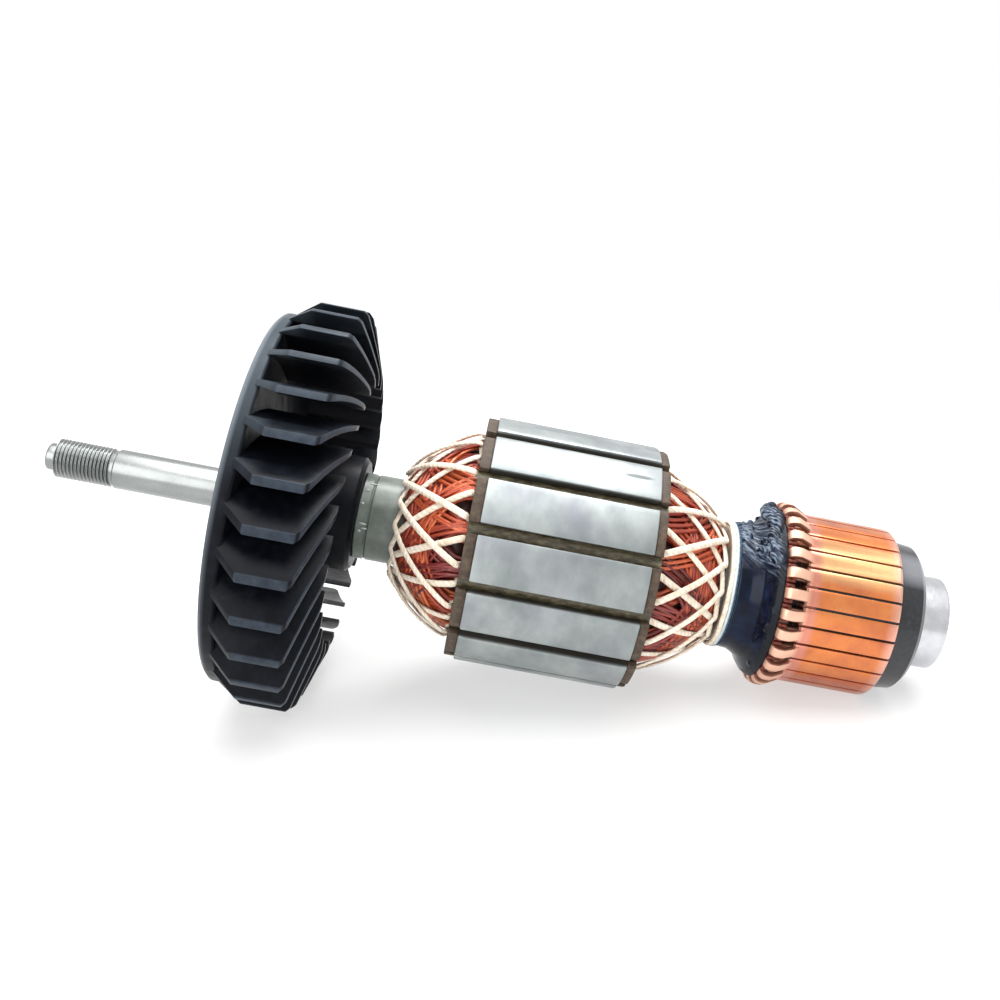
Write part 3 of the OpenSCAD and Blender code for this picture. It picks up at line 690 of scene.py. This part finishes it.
def strands(name, routes, width, thickness, sides=6, closed=False, alike=1):
    """Sweeps an oval section along each route of (point, way out) pairs. Its UV map runs along
    and round a strand in millimetres, and its shade attribute changes after each lot of so many
    routes that are alike."""
    corners, faces, lengths, shades = [], [], [], []
    turns = np.arange(sides) * 2 * math.pi / sides
    for number, route in enumerate(routes):
        if number % alike == 0:
            lot_shade = draw.uniform(0.1, 0.9)
        points = np.array([point for point, out in route])
        outs = np.array([out for point, out in route])
        ways = np.gradient(points, axis=0)
        if closed:
            ways = np.roll(points, -1, 0) - np.roll(points, 1, 0)
        ways /= np.linalg.norm(ways, axis=1)[:, None]
        outs -= ways * (ways * outs).sum(1)[:, None]
        outs /= np.linalg.norm(outs, axis=1)[:, None]
        across_ways = np.cross(ways, outs)
        rings = (points[:, None] + across_ways[:, None] * (width / 2 * np.cos(turns))[None, :, None]
                 + outs[:, None] * (thickness / 2 * np.sin(turns))[None, :, None])
        start, count = len(corners), len(route)
        steps = np.linalg.norm(np.roll(points, -1, 0) - points, axis=1)
        along = np.concatenate([[0], np.cumsum(steps)])
        corners.extend(rings.reshape(-1, 3).tolist())
        shades.extend([lot_shade + draw.uniform(-0.1, 0.1)] * (count * sides))
        for k in range(count if closed else count - 1):
            this, after = start + k * sides, start + (k + 1) % count * sides
            for j in range(sides):
                faces.append((this + j, this + (j + 1) % sides, after + (j + 1) % sides, after + j))
                lengths.append((along[k], along[k + 1], j))
        if not closed:
            faces.append(tuple(start + j for j in reversed(range(sides))))
            faces.append(tuple(start + (count - 1) * sides + j for j in range(sides)))
            lengths += [None, None]
    mesh = bpy.data.meshes.new(name)
    mesh.from_pydata(corners, [], faces)
    piece = bpy.data.objects.new(name, mesh)
    bpy.context.collection.objects.link(piece)
    round_it = math.pi * (width + thickness) / 2 / sides
    uvs = []
    for face, span in zip(faces, lengths):
        if span is None:
            uvs += [(0, 0)] * len(face)
        else:
            from_length, to_length, j = span
            uvs += [(from_length, j * round_it), (from_length, (j + 1) * round_it),
                    (to_length, (j + 1) * round_it), (to_length, j * round_it)]
    layer = mesh.uv_layers.new(name="strand")
    layer.data.foreach_set("uv", np.array(uvs, np.float32).ravel())
    shading = mesh.attributes.new("shade", "FLOAT", "POINT")
    shading.data.foreach_set("value", np.array(shades, np.float32))
    pick(piece)
    bpy.ops.object.mode_set(mode="EDIT")
    face_out()
    bpy.ops.object.shade_smooth()
    return piece


def coil_wire(head, leave, arrive, nearest, deep_out, deep_back):
    """One wire of a coil: straight out of its slot, over the head past the sleeve at its nearest
    radius, and down into the slot where the coil's other side lies."""
    legs = []
    for slot_at, sense, deep in ((leave, 1, deep_out), (arrive, -1, deep_back)):
        top = dome_radius(head, 0, deep)
        turn_in = math.degrees(math.acos(nearest / top))
        furthest = dome_off(head, nearest, deep)
        leg = [(-1.6, slot_at, top - 0.25, deep), (-0.7, slot_at, top - 0.05, deep)]
        for i in range(1, COIL_STEPS + 1):
            off = furthest * math.sin(math.pi / 2 * i / COIL_STEPS)
            radius = max(dome_radius(head, off, deep), nearest + 0.001)
            turned_by = turn_in - math.degrees(math.acos(min(1, nearest / radius)))
            leg.append((off, slot_at + sense * turned_by, radius, deep))
        legs.append(leg)
    out_leg, back_leg = legs
    from_turn, to_turn = out_leg[-1][1], back_leg[-1][1]
    arc_steps = max(2, int(abs(to_turn - from_turn) / 9))
    arc = []
    for i in range(1, arc_steps):
        share = i / arc_steps
        deep = deep_out + (deep_back - deep_out) * share
        degrees = from_turn + (to_turn - from_turn) * share
        arc.append((dome_off(head, nearest, deep), degrees, nearest, deep))
    route = []
    phase = draw.random() * 6.3
    for i, (off, degrees, radius, deep) in enumerate(out_leg + arc + back_leg[::-1]):
        slope = dome_slope(head, off, deep) if off > 0 else 0
        push = SWAY * math.sin(phase + i * 0.55)
        route.append(on_head(head, off, degrees + push * 6 / radius * 3, radius - abs(push) * 0.6,
                             max(slope, -30)))
    return route


def winding(name, head, seed):
    """All the wires of a head over a mass for the coils below them, painted dark as shade between the
    strands.
    """
    draw.seed(seed)
    top_layer = LACE_THICK + WIRE / 2 + 0.02
    routes = []
    for slot in range(SLOTS):
        for nearest, shift in SLOT_STRANDS:
            leave = SLOT_TURN + slot * SLOT_PITCH + shift
            arrive = SLOT_TURN + (slot + COIL_SPAN) * SLOT_PITCH - shift
            out_layer, back_layer = draw.choice(LAYERS)
            for wire in range(WIRES_IN_STRAND):
                own = nearest + (wire - (WIRES_IN_STRAND - 1) / 2) * WIRE_PITCH
                own = max(own, head["inner"] + WIRE)
                fan_out = math.degrees(
                    math.acos(nearest / COIL_MIDDLE_R) - math.acos(own / COIL_MIDDLE_R))
                routes.append(coil_wire(head, leave + fan_out, arrive - fan_out, own,
                                        top_layer + out_layer * LAYER, top_layer + back_layer * LAYER))
    wires = strands(name, routes, WIRE, WIRE, alike=WIRES_IN_STRAND)
    deep = LACE_THICK + MASS_DEEP
    cut = min(head["cut"] - 0.4, head["reach"] - deep - 0.05)
    bore = head["inner"] + 0.05
    outline = [(head["from"], bore)]
    for i in range(11):
        off = cut * math.sin(math.pi / 2 * i / 10)
        radius = max(dome_radius(head, off, deep), head["inner"] + 0.3)
        outline.append((head["from"] + head["way"] * off, radius))
    outline += [(head["from"] + head["way"] * cut, bore), outline[0]]
    mass = turned(name + "_mass", outline, sides=64, hollow=True)
    pick(mass)
    bpy.ops.object.shade_smooth()
    joined_to(wires, [mass])
    lay(wires)
    return wires


enamel = new_paint("enamelled_wire", Coat_Weight=0.25, Coat_Roughness=0.2, Specular_IOR_Level=0.5)
shade = node(enamel, "Attribute", attribute_name="shade").outputs["Fac"]
spot = shaft_spot(enamel)
patch = noise(enamel, spot, 0.3, 3.0)
fine = noise(enamel, spot, 2.5, 3.0)
varied = plus(enamel, times(enamel, shade, 0.62), times(enamel, patch, 0.38))
enamel_tone = ramp(enamel, varied, (0.2, "4d1512"), (0.38, "7d2a27"), (0.52, "983a2a"),
                   (0.66, "b9502d"), (0.82, "cc6c42"))
# The mass has no shade attribute of its own, so it reads as 0 there; it is painted near-black and
# duller, as painted shade in the gaps between the strands
mass_painted_shade = math_node(enamel, "LESS_THAN", shade, 0.005)
wire_up(enamel,
        Base_Color=blend(enamel, times(enamel, mass_painted_shade, 0.8), enamel_tone, paint("1c0a08")),
        Roughness=plus(enamel, spread(enamel, fine, 0.3, 0.7, 0.3, 0.48), times(enamel, mass_painted_shade, 0.4)),
        Metallic=spread(enamel, varied, 0.3, 0.8, 0.15, 0.4))

# One generator draws all that is irregular, and each piece seeds it anew
draw = random.Random(7)
for name, head, cad_node, seed in (
        ("front_winding", FRONT_HEAD, "front_winding_head", 11),
        ("rear_winding", REAR_HEAD, "rear_winding_head", 23)):
    coils = winding(name, head, seed)
    dressed(coils, enamel)
    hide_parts(cad_node)
refinished("slot_conductors", enamel)


# ---- Lacing ----
# Flat cream cord is drawn tight over each head, so it takes the shortest way from the core to the
# sleeve, and its runs cross in a net that holds the coils against the pull of the speed. At the
# core it dives between the coils and comes up again on the other side of a slot.

CORD_WIDE = 1.36
CORD_THICK = 0.66
CORD_OVER = 0.32
CORD_UNDER = 1.08
CORD_FOOT = 0.9
CORD_DIVE = 0.42
CORD_STEPS = 6
CORD_STRIDE = 4
CORD_FIRST = 6.0


def cord_off(head, i):
    """How far off the core a run has come at a step."""
    reach = head["cut"] - LACE_THICK / 2 - CORD_FOOT
    return CORD_FOOT + reach * math.sin(math.pi / 2 * i / CORD_STEPS)


def cord_turns(head):
    """The angle through which a run has turned at each step. A tight cord keeps radius times the
    sine of its angle to the shaft."""
    turns = [CORD_FIRST]
    for i in range(1, CORD_STEPS + 1):
        before, here = cord_off(head, i - 1), cord_off(head, i)
        r_before, r_here = dome_radius(head, before), dome_radius(head, here)
        middle = (r_before + r_here) / 2
        pull = head["pull"]
        turning = math.degrees(pull / middle / math.sqrt(max(1, middle * middle - pull * pull)))
        turns.append(turns[-1] + math.hypot(here - before, r_here - r_before) * turning)
    return turns


def cord_point(head, off, degrees, deep):
    """A point of the cord, so deep in its head, and the way out of the head there."""
    slope = dome_slope(head, off)
    out = Vector((1, -slope)).normalized()
    return on_head(head, off - out.y * deep, degrees, dome_radius(head, off) - deep * out.x, slope)


def lacing(name, head):
    """Both loops of a head's cord, each drawn round the head in one go and smoothed between its
    knots."""
    turns = cord_turns(head)
    between = (CORD_OVER + CORD_UNDER) / 2
    last_off = cord_off(head, CORD_STEPS)
    loops = []
    for start in (0, 1):
        knots = []
        for vee in range(SLOTS // 2):
            here = SLOT_TURN + (start + vee * CORD_STRIDE) * SLOT_PITCH
            there = here + CORD_STRIDE * SLOT_PITCH
            knots.append(cord_point(head, CORD_DIVE, here + turns[0], CORD_UNDER + 0.9))
            knots += [cord_point(head, cord_off(head, i), here + turns[i], CORD_UNDER)
                      for i in range(CORD_STEPS + 1)]
            knots.append(cord_point(head, last_off, (here + there) / 2, between))
            knots += [cord_point(head, cord_off(head, i), there - turns[i], CORD_OVER)
                      for i in reversed(range(CORD_STEPS + 1))]
            knots.append(cord_point(head, CORD_DIVE, there - turns[0], CORD_OVER + 1.6))
            knots.append(cord_point(head, CORD_DIVE, there, between + 3.4))
        places = np.array([point for point, out in knots])
        outs = np.array([out for point, out in knots])
        route = []
        for k in range(len(knots)):
            near = [(k - 1) % len(knots), k, (k + 1) % len(knots), (k + 2) % len(knots)]
            for t in (0.0, 0.25, 0.5, 0.75):
                weights = np.array([-t + 2 * t * t - t ** 3, 2 - 5 * t * t + 3 * t ** 3,
                                    t + 4 * t * t - 3 * t ** 3, -t * t + t ** 3]) / 2
                route.append((weights @ places[near], weights @ outs[near]))
        loops.append(route)
    cord = strands(name, loops, CORD_WIDE, CORD_THICK, sides=8, closed=True)
    lay(cord)
    return cord


cord_paint = new_paint("cream_cord", Specular_IOR_Level=0.25, Sheen_Weight=0.25, Sheen_Roughness=0.5)
strand_map = node(cord_paint, "UVMap", uv_map="strand").outputs[0]
strand_parts = node(cord_paint, "SeparateXYZ", {0: strand_map}).outputs
twist = plus(cord_paint, times(cord_paint, strand_parts[0], 5.2),
             times(cord_paint, strand_parts[1], 4.0))
ply = math_node(cord_paint, "SINE", twist)
spot = shaft_spot(cord_paint)
soil = noise(cord_paint, spot, 0.45, 5.0, 0.6)
fuzz = noise(cord_paint, spot, 6.0, 3.0)
cord_tone = ramp(cord_paint, soil, (0.3, "d3bfa6"), (0.48, "e6d8c4"), (0.7, "f1e8da"))
wire_up(cord_paint,
        Base_Color=blend(cord_paint, spread(cord_paint, ply, -1.0, 0.2, 0.24, 0.0), cord_tone,
                         paint("a58e73")),
        Roughness=spread(cord_paint, fuzz, 0.3, 0.7, 0.6, 0.85),
        Normal=bump(cord_paint, ply, 0.00006, 0.7))
for name, head in (("front_lacing", FRONT_HEAD), ("rear_lacing", REAR_HEAD)):
    cord = lacing(name.replace("lacing", "cord"), head)
    dressed(cord, cord_paint)
    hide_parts(name)


# ---- Binding ----
# Behind the rear head the same cord is wound twice round the leads and drawn tight. The resin that
# runs up to it has tinted its last turn and soaked its far edge.

BIND_FROM = 52.3
BIND_PITCH = 0.9
BIND_TURNS = 2
BIND_STEPS = 90
BIND_WIDE = 0.96
BIND_R = 12.2
bind_loops = []
for turn in range(BIND_TURNS):
    loop = []
    for i in range(BIND_STEPS):
        a = math.radians(360 / BIND_STEPS * i)
        wave = 0.05 * math.sin(5 * a + turn * 2) + 0.03 * math.sin(11 * a + turn)
        radius = BIND_R + BIND_PITCH / 2 + wave * 0.6
        loop.append(round_shaft(a, radius, BIND_FROM + BIND_PITCH * (turn + 0.5) + wave))
    bind_loops.append(loop)
draw.seed(5)
binding = strands("binding", bind_loops, BIND_WIDE, BIND_PITCH, sides=8, closed=True)
lay(binding)
bound_paint = cord_paint.copy()
bound_paint.name = "bound_cord"
tinted = bound_paint.node_tree.nodes["Principled BSDF"].inputs["Base Color"]
cord_colour = tinted.links[0].from_socket
angle, station, radius = unrolled(bound_paint)
edge_tint = spread(bound_paint, station, BIND_FROM + 0.5, BIND_FROM + 1.3, 0.0, 0.85)
bound_tone = blend(bound_paint, edge_tint, cord_colour, paint("b4d0de"))
soaked = spread(bound_paint, station, BIND_FROM + 1.15, BIND_FROM + 1.45, 0.0, 0.95)
wire_up(bound_paint, Base_Color=blend(bound_paint, soaked, bound_tone, paint("10233f")))
dressed(binding, bound_paint)
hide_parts("rear_binding")


# ---- Resin neck ----
# The leads from the coils to the commutator are buried in dark blue potting resin, brushed on and
# baked. It is smooth and glossy where it ran thick, and on one side the leads show through it as
# ridges and heap up under the hooks.

LEADS = 30
LEADS_MIDDLE = -172
LEADS_REACH = 46
LEADS_LEAN = 0.061
LEADS_FROM = 54.5
LEADS_TO = 61.2
LEADS_TOP_R = 17.1
LEAD_WIRE = 0.7
LEAD_STEPS = 13
NECK_FROM = 52.35
NECK_R = 13.1
NECK_BORE = 9.02
HOOK_SIDE = 62.0
RESIN_VOXEL = 0.2
neck = turned("neck", [
    (NECK_FROM, NECK_BORE), (NECK_FROM, BIND_R - 0.05), (54.15, BIND_R - 0.05),
    (54.2, NECK_R - 0.4), (55.2, NECK_R - 0.3), (56.6, NECK_R - 0.2), (57.6, 13.3), (59.0, 14.2),
    (59.8, 15.6), (60.8, 16.9), (HOOK_SIDE, 17.6), (HOOK_SIDE, NECK_BORE),
    (NECK_FROM, NECK_BORE)], hollow=True)

draw.seed(41)
leads = []
for lead in range(LEADS):
    to_turn = LEADS_MIDDLE + LEADS_REACH * (2 * (lead + 0.5) / LEADS - 1) + draw.uniform(-3, 3)
    from_turn = to_turn - draw.uniform(12, 40)
    lift = draw.uniform(-0.2, 0.3)
    bow = draw.uniform(-6, 6)
    route = []
    for i in range(LEAD_STEPS + 1):
        share = i / LEAD_STEPS
        off = LEADS_FROM + (LEADS_TO - LEADS_FROM) * share
        climb = max(0, (share - 0.4) / 0.6) ** 1.6
        radius = NECK_R - 0.3 + lift + (LEADS_TOP_R - NECK_R) * climb
        a = math.radians(from_turn + (to_turn - from_turn) * share + bow * math.sin(math.pi * share))
        route.append(round_shaft(a, radius, off))
    leads.append(route)
lead_ridges = strands("lead_ridges", leads, LEAD_WIRE, LEAD_WIRE, sides=8)

# (first and last turn in degrees, first and last station, radius at the foot, how many, size):
# the heap of leads under the top hooks, and the few lumps that have run lower down
lumps = []
for from_turn, to_turn, from_off, to_off, foot, count, size in (
        (LEADS_MIDDLE - 28, LEADS_MIDDLE + 42, 58.8, 61.2, 16.3, 20, 1.5),
        (LEADS_MIDDLE - 38, LEADS_MIDDLE + 36, 55.5, 59.5, 12.9, 10, 0.8),
        (LEADS_MIDDLE - 130, LEADS_MIDDLE + 130, 60.3, 61.3, 16.0, 20, 0.95)):
    for lump in range(count):
        a = math.radians(draw.uniform(from_turn, to_turn))
        off = draw.uniform(from_off, to_off)
        radius = foot + 0.5 * (off - from_off) + draw.uniform(-0.2, 0.2)
        bpy.ops.mesh.primitive_ico_sphere_add(
            subdivisions=2, radius=size * draw.uniform(0.75, 1.15), rotation=(0, 0, a),
            location=round_shaft(a, radius, off)[0], scale=(0.8, 1.3, 0.75))
        lumps.append(bpy.context.object)
joined_to(neck, [lead_ridges] + lumps)
worked(neck, "REMESH", "resin_flow", mode="VOXEL", voxel_size=RESIN_VOXEL)
worked(neck, "SMOOTH", "resin_settling", factor=0.5, iterations=7)
lay(neck)
bpy.ops.object.shade_smooth()

resin = new_paint("blue_resin", Coat_Weight=0.08, Coat_Roughness=0.08, Specular_IOR_Level=0.12)
spot = shaft_spot(resin)
angle, station, radius = unrolled(resin)
cloud = noise(resin, spot, 0.3, 4.0, 0.55)
ripple = noise(resin, spot, 1.0, 4.0, 0.6)
lead_line = math_node(resin, "SUBTRACT", angle, times(resin, station, LEADS_LEAN))
fibres = noise(
    resin, joined(resin, times(resin, lead_line, 26.0), times(resin, station, 0.35), 0.0),
    1.0, 4.0, 0.6)
resin_tone = ramp(resin, cloud, (0.3, "030712"), (0.5, "060e20"), (0.72, "0c1a33"))
lead_side = math_node(resin, "COSINE", math_node(
    resin, "SUBTRACT", lead_line, math.radians(LEADS_MIDDLE) - LEADS_LEAN * LEADS_TO))
lead_side = spread(resin, lead_side, 0.57, 0.7, 0.0, 1.0)
brushed = times(resin, lead_side, spread(resin, fibres, 0.48, 0.62, 0.0, 0.85))
thin_edge = spread(resin, station, 54.1, 54.6, 0.25, 0.0)
under_cord = spread(resin, station, 53.4, 53.7, 0.9, 0.0)
charred = spread(resin, plus(resin, station, times(resin, ripple, 1.2)), 60.8, 61.5, 0.0, 0.85)
for share, code in ((brushed, "8393a6"), (thin_edge, "5d8ba5"), (under_cord, "b5ad9b"),
                    (charred, "14161a")):
    resin_tone = blend(resin, share, resin_tone, paint(code))
wire_up(resin,
        Base_Color=resin_tone,
        Roughness=plus(resin, spread(resin, ripple, 0.3, 0.7, 0.14, 0.26), plus(
            resin, times(resin, charred, 0.3), times(resin, lead_side, 0.16))),
        Normal=bump(resin, ripple, 0.00008, 0.5))
dressed(neck, resin)
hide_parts("resin_neck")


# ---- Commutator ----
# Twenty-eight copper bars are moulded in black phenolic on a steel bush and turned true. Each
# bar's hook is folded over its wire and hot-pressed, which leaves it pale, with dark oxide between
# the hooks, and smears the copper over the first of the grooves.

BARS = 28
BAR_TURN = 3.2
BAR_EDGE = 0.18
HOOK_WIDE = 1.7
HOOK_TO = 66.2
GROOVES_FROM = 69.2
RING_FROM = 85.6
HIGHLIGHT_BAND_TURN = -140
SHADE_BAND_TURN = -40
RING_HIGHLIGHT_TURN = -152
bar_nodes = [f"commutator_bar_{bar:02d}" for bar in range(1, BARS + 1)]
bars = [moulded_copy(bar_node, bar_node.replace("commutator_", ""), BAR_EDGE) for bar_node in bar_nodes]
joined_to(bars[0], bars[1:])
bars = start_piece("copper_bars")
smooth(bars, 32)

copper = new_paint("turned_copper", Metallic=0.85)
spot = shaft_spot(copper)
angle, station, radius = unrolled(copper)
tool_lines = noise(copper, joined(copper, times(copper, angle, 0.5), station, 0.0), 7.0)
heat = noise(copper, spot, 0.16, 3.0)
bar_share = math_node(copper, "DIVIDE", math_node(
    copper, "SUBTRACT", angle, math.radians(BAR_TURN - 180 / BARS)), 2 * math.pi / BARS)
bar_shade = node(copper, "TexWhiteNoise", {"W": math_node(copper, "FLOOR", bar_share)},
                 noise_dimensions="1D").outputs["Value"]
copper_mix = plus(copper, times(copper, heat, 0.85), times(copper, bar_shade, 0.15))
copper_tone = ramp(copper, copper_mix, (0.25, "ab5f42"), (0.45, "c4734a"), (0.6, "d37e4a"),
                   (0.8, "d68d57"))
# Painted highlight: a pale gold band on the bars' upper side, where the top lamp's reflection lies
painted_highlight_band = spread(copper, facing(copper, angle, HIGHLIGHT_BAND_TURN), 0.955, 0.99, 0.0, 0.6)
# Painted shade: the bars are painted darker red on their lower front side
painted_shade_band = spread(copper, facing(copper, angle, SHADE_BAND_TURN), 0.93, 1.0, 0.0, 0.6)
burnished = spread(copper, station, GROOVES_FROM + 0.4, GROOVES_FROM - 0.8, 0.0, 0.85)
on_hook = spread(copper, station, HOOK_TO + 1.4, HOOK_TO, 0.0, 0.9)
near_ring = spread(copper, station, RING_FROM - 2.6, RING_FROM - 0.6, 0.0, 0.7)
deep_in = times(copper, spread(copper, radius, 16.2, 17.0, 0.9, 0.0),
                math_node(copper, "GREATER_THAN", station, HOOK_TO + 0.1))
aside = math_node(copper, "ABSOLUTE", math_node(
    copper, "SUBTRACT", math_node(copper, "FRACT", bar_share), 0.5))
aside = times(copper, times(copper, aside, 2 * math.pi / BARS), radius)
hook_side = times(copper, spread(copper, aside, HOOK_WIDE / 2, HOOK_WIDE / 2 + 0.2, 0.0, 0.72),
                  math_node(copper, "LESS_THAN", station, HOOK_TO + 0.6))
oxide = math_node(copper, "MAXIMUM", deep_in, hook_side)
for share, code in ((painted_highlight_band, "ecca93"), (painted_shade_band, "a34a2d"), (burnished, "cd8777"),
                    (on_hook, "e6bba2"), (near_ring, "dfb0a2"), (oxide, "6b3122")):
    copper_tone = blend(copper, share, copper_tone, paint(code))
wire_up(copper,
        Base_Color=copper_tone,
        Roughness=plus(copper, spread(copper, tool_lines, 0.3, 0.7, 0.26, 0.38),
                       times(copper, on_hook, 0.16)),
        Normal=bump(copper, tool_lines, 0.000012, 0.5))
dressed(bars, copper)
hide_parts(*bar_nodes)

phenolic = new_paint("black_phenolic", Specular_IOR_Level=0.3, Coat_Weight=0.5, Coat_Roughness=0.12)
spot = shaft_spot(phenolic)
angle, station, radius = unrolled(phenolic)
dust = noise(phenolic, spot, 1.2, 5.0, 0.6)
turned_ring = noise(phenolic, joined(phenolic, times(phenolic, angle, 0.6), station, radius), 5.0, 3.0)
phenolic_tone = ramp(phenolic, dust, (0.3, "0f1114"), (0.55, "181a1e"), (0.75, "26292e"))
# Painted reflection: a grey arc on the ring's upper side, where a lamp's reflection lies
painted_ring_reflection = spread(phenolic, facing(phenolic, angle, RING_HIGHLIGHT_TURN), 0.95, 0.995, 0.0, 0.6)
painted_ring_reflection = times(phenolic, painted_ring_reflection, math_node(phenolic, "GREATER_THAN", station, RING_FROM))
phenolic_tone = blend(phenolic, painted_ring_reflection, phenolic_tone, paint("85878d"))
smeared = spread(phenolic, station, GROOVES_FROM, GROOVES_FROM - 0.8, 0.0, 0.85)
smeared = times(phenolic, smeared, math_node(phenolic, "GREATER_THAN", station, HOOK_TO))
wire_up(phenolic,
        Base_Color=blend(phenolic, smeared, phenolic_tone, paint("a8644f")),
        Roughness=spread(phenolic, turned_ring, 0.3, 0.7, 0.28, 0.42),
        Normal=bump(phenolic, turned_ring, 0.00002, 0.4))
refinished("commutator_moulding", phenolic)

bush_steel = new_paint("bush_steel", Metallic=1.0)
angle, station, radius = unrolled(bush_steel)
bush_turning = noise(bush_steel, joined(bush_steel, angle, station, radius), 6.0)
wire_up(bush_steel,
        Base_Color=ramp(bush_steel, bush_turning, (0.3, "8c8f92"), (0.7, "a9acaf")),
        Roughness=spread(bush_steel, bush_turning, 0.3, 0.7, 0.3, 0.45))
refinished("commutator_bush", bush_steel)

burnt = new_paint("burnt_wire_end", Specular_IOR_Level=0.5)
char = noise(burnt, shaft_spot(burnt), 1.4, 4.0, 0.6)
wire_up(burnt,
        Base_Color=ramp(burnt, char, (0.3, "2c0f0b"), (0.5, "5e2317"), (0.75, "8f3e26")),
        Roughness=spread(burnt, char, 0.3, 0.7, 0.3, 0.6),
        Normal=bump(burnt, char, 0.00008, 0.6))
refinished("hook_wires", burnt)


# ---- Bearing ----
# A small deep-groove ball bearing is pressed on the shaft's far end. Its rings are ground bright,
# pressed steel shields close it, and the outer ring, cage and balls turn on the armature.

bearing_steel = new_paint("bearing_steel", Metallic=1.0)
spot = shaft_spot(bearing_steel)
angle, station, radius = unrolled(bearing_steel)
ring_lines = noise(
    bearing_steel, joined(bearing_steel, times(bearing_steel, angle, 0.3), station, radius), 12.0)
ring_cloud = noise(bearing_steel, spot, 0.5, 3.0)
wire_up(bearing_steel,
        Base_Color=ramp(bearing_steel, ring_cloud, (0.3, "c0c1c4"), (0.7, "cccdd0")),
        Roughness=spread(bearing_steel, ring_lines, 0.3, 0.7, 0.14, 0.26),
        Normal=bump(bearing_steel, ring_lines, 0.00001, 0.4))
for name in ("bearing_outer_ring", "bearing_inner_ring", "bearing_balls"):
    refinished(name, bearing_steel)

pressed_steel = new_paint("pressed_shield", Metallic=0.9)
shield_cloud = noise(pressed_steel, shaft_spot(pressed_steel), 1.1)
wire_up(pressed_steel,
        Base_Color=ramp(pressed_steel, shield_cloud, (0.3, "85888b"), (0.7, "a5a8ab")),
        Roughness=spread(pressed_steel, shield_cloud, 0.3, 0.7, 0.3, 0.48))
for name in ("bearing_front_shield", "bearing_rear_shield", "bearing_cage"):
    refinished(name, pressed_steel)


# ---- Update ----
# The view layer is updated, so every piece's place is current.

bpy.context.view_layer.update()
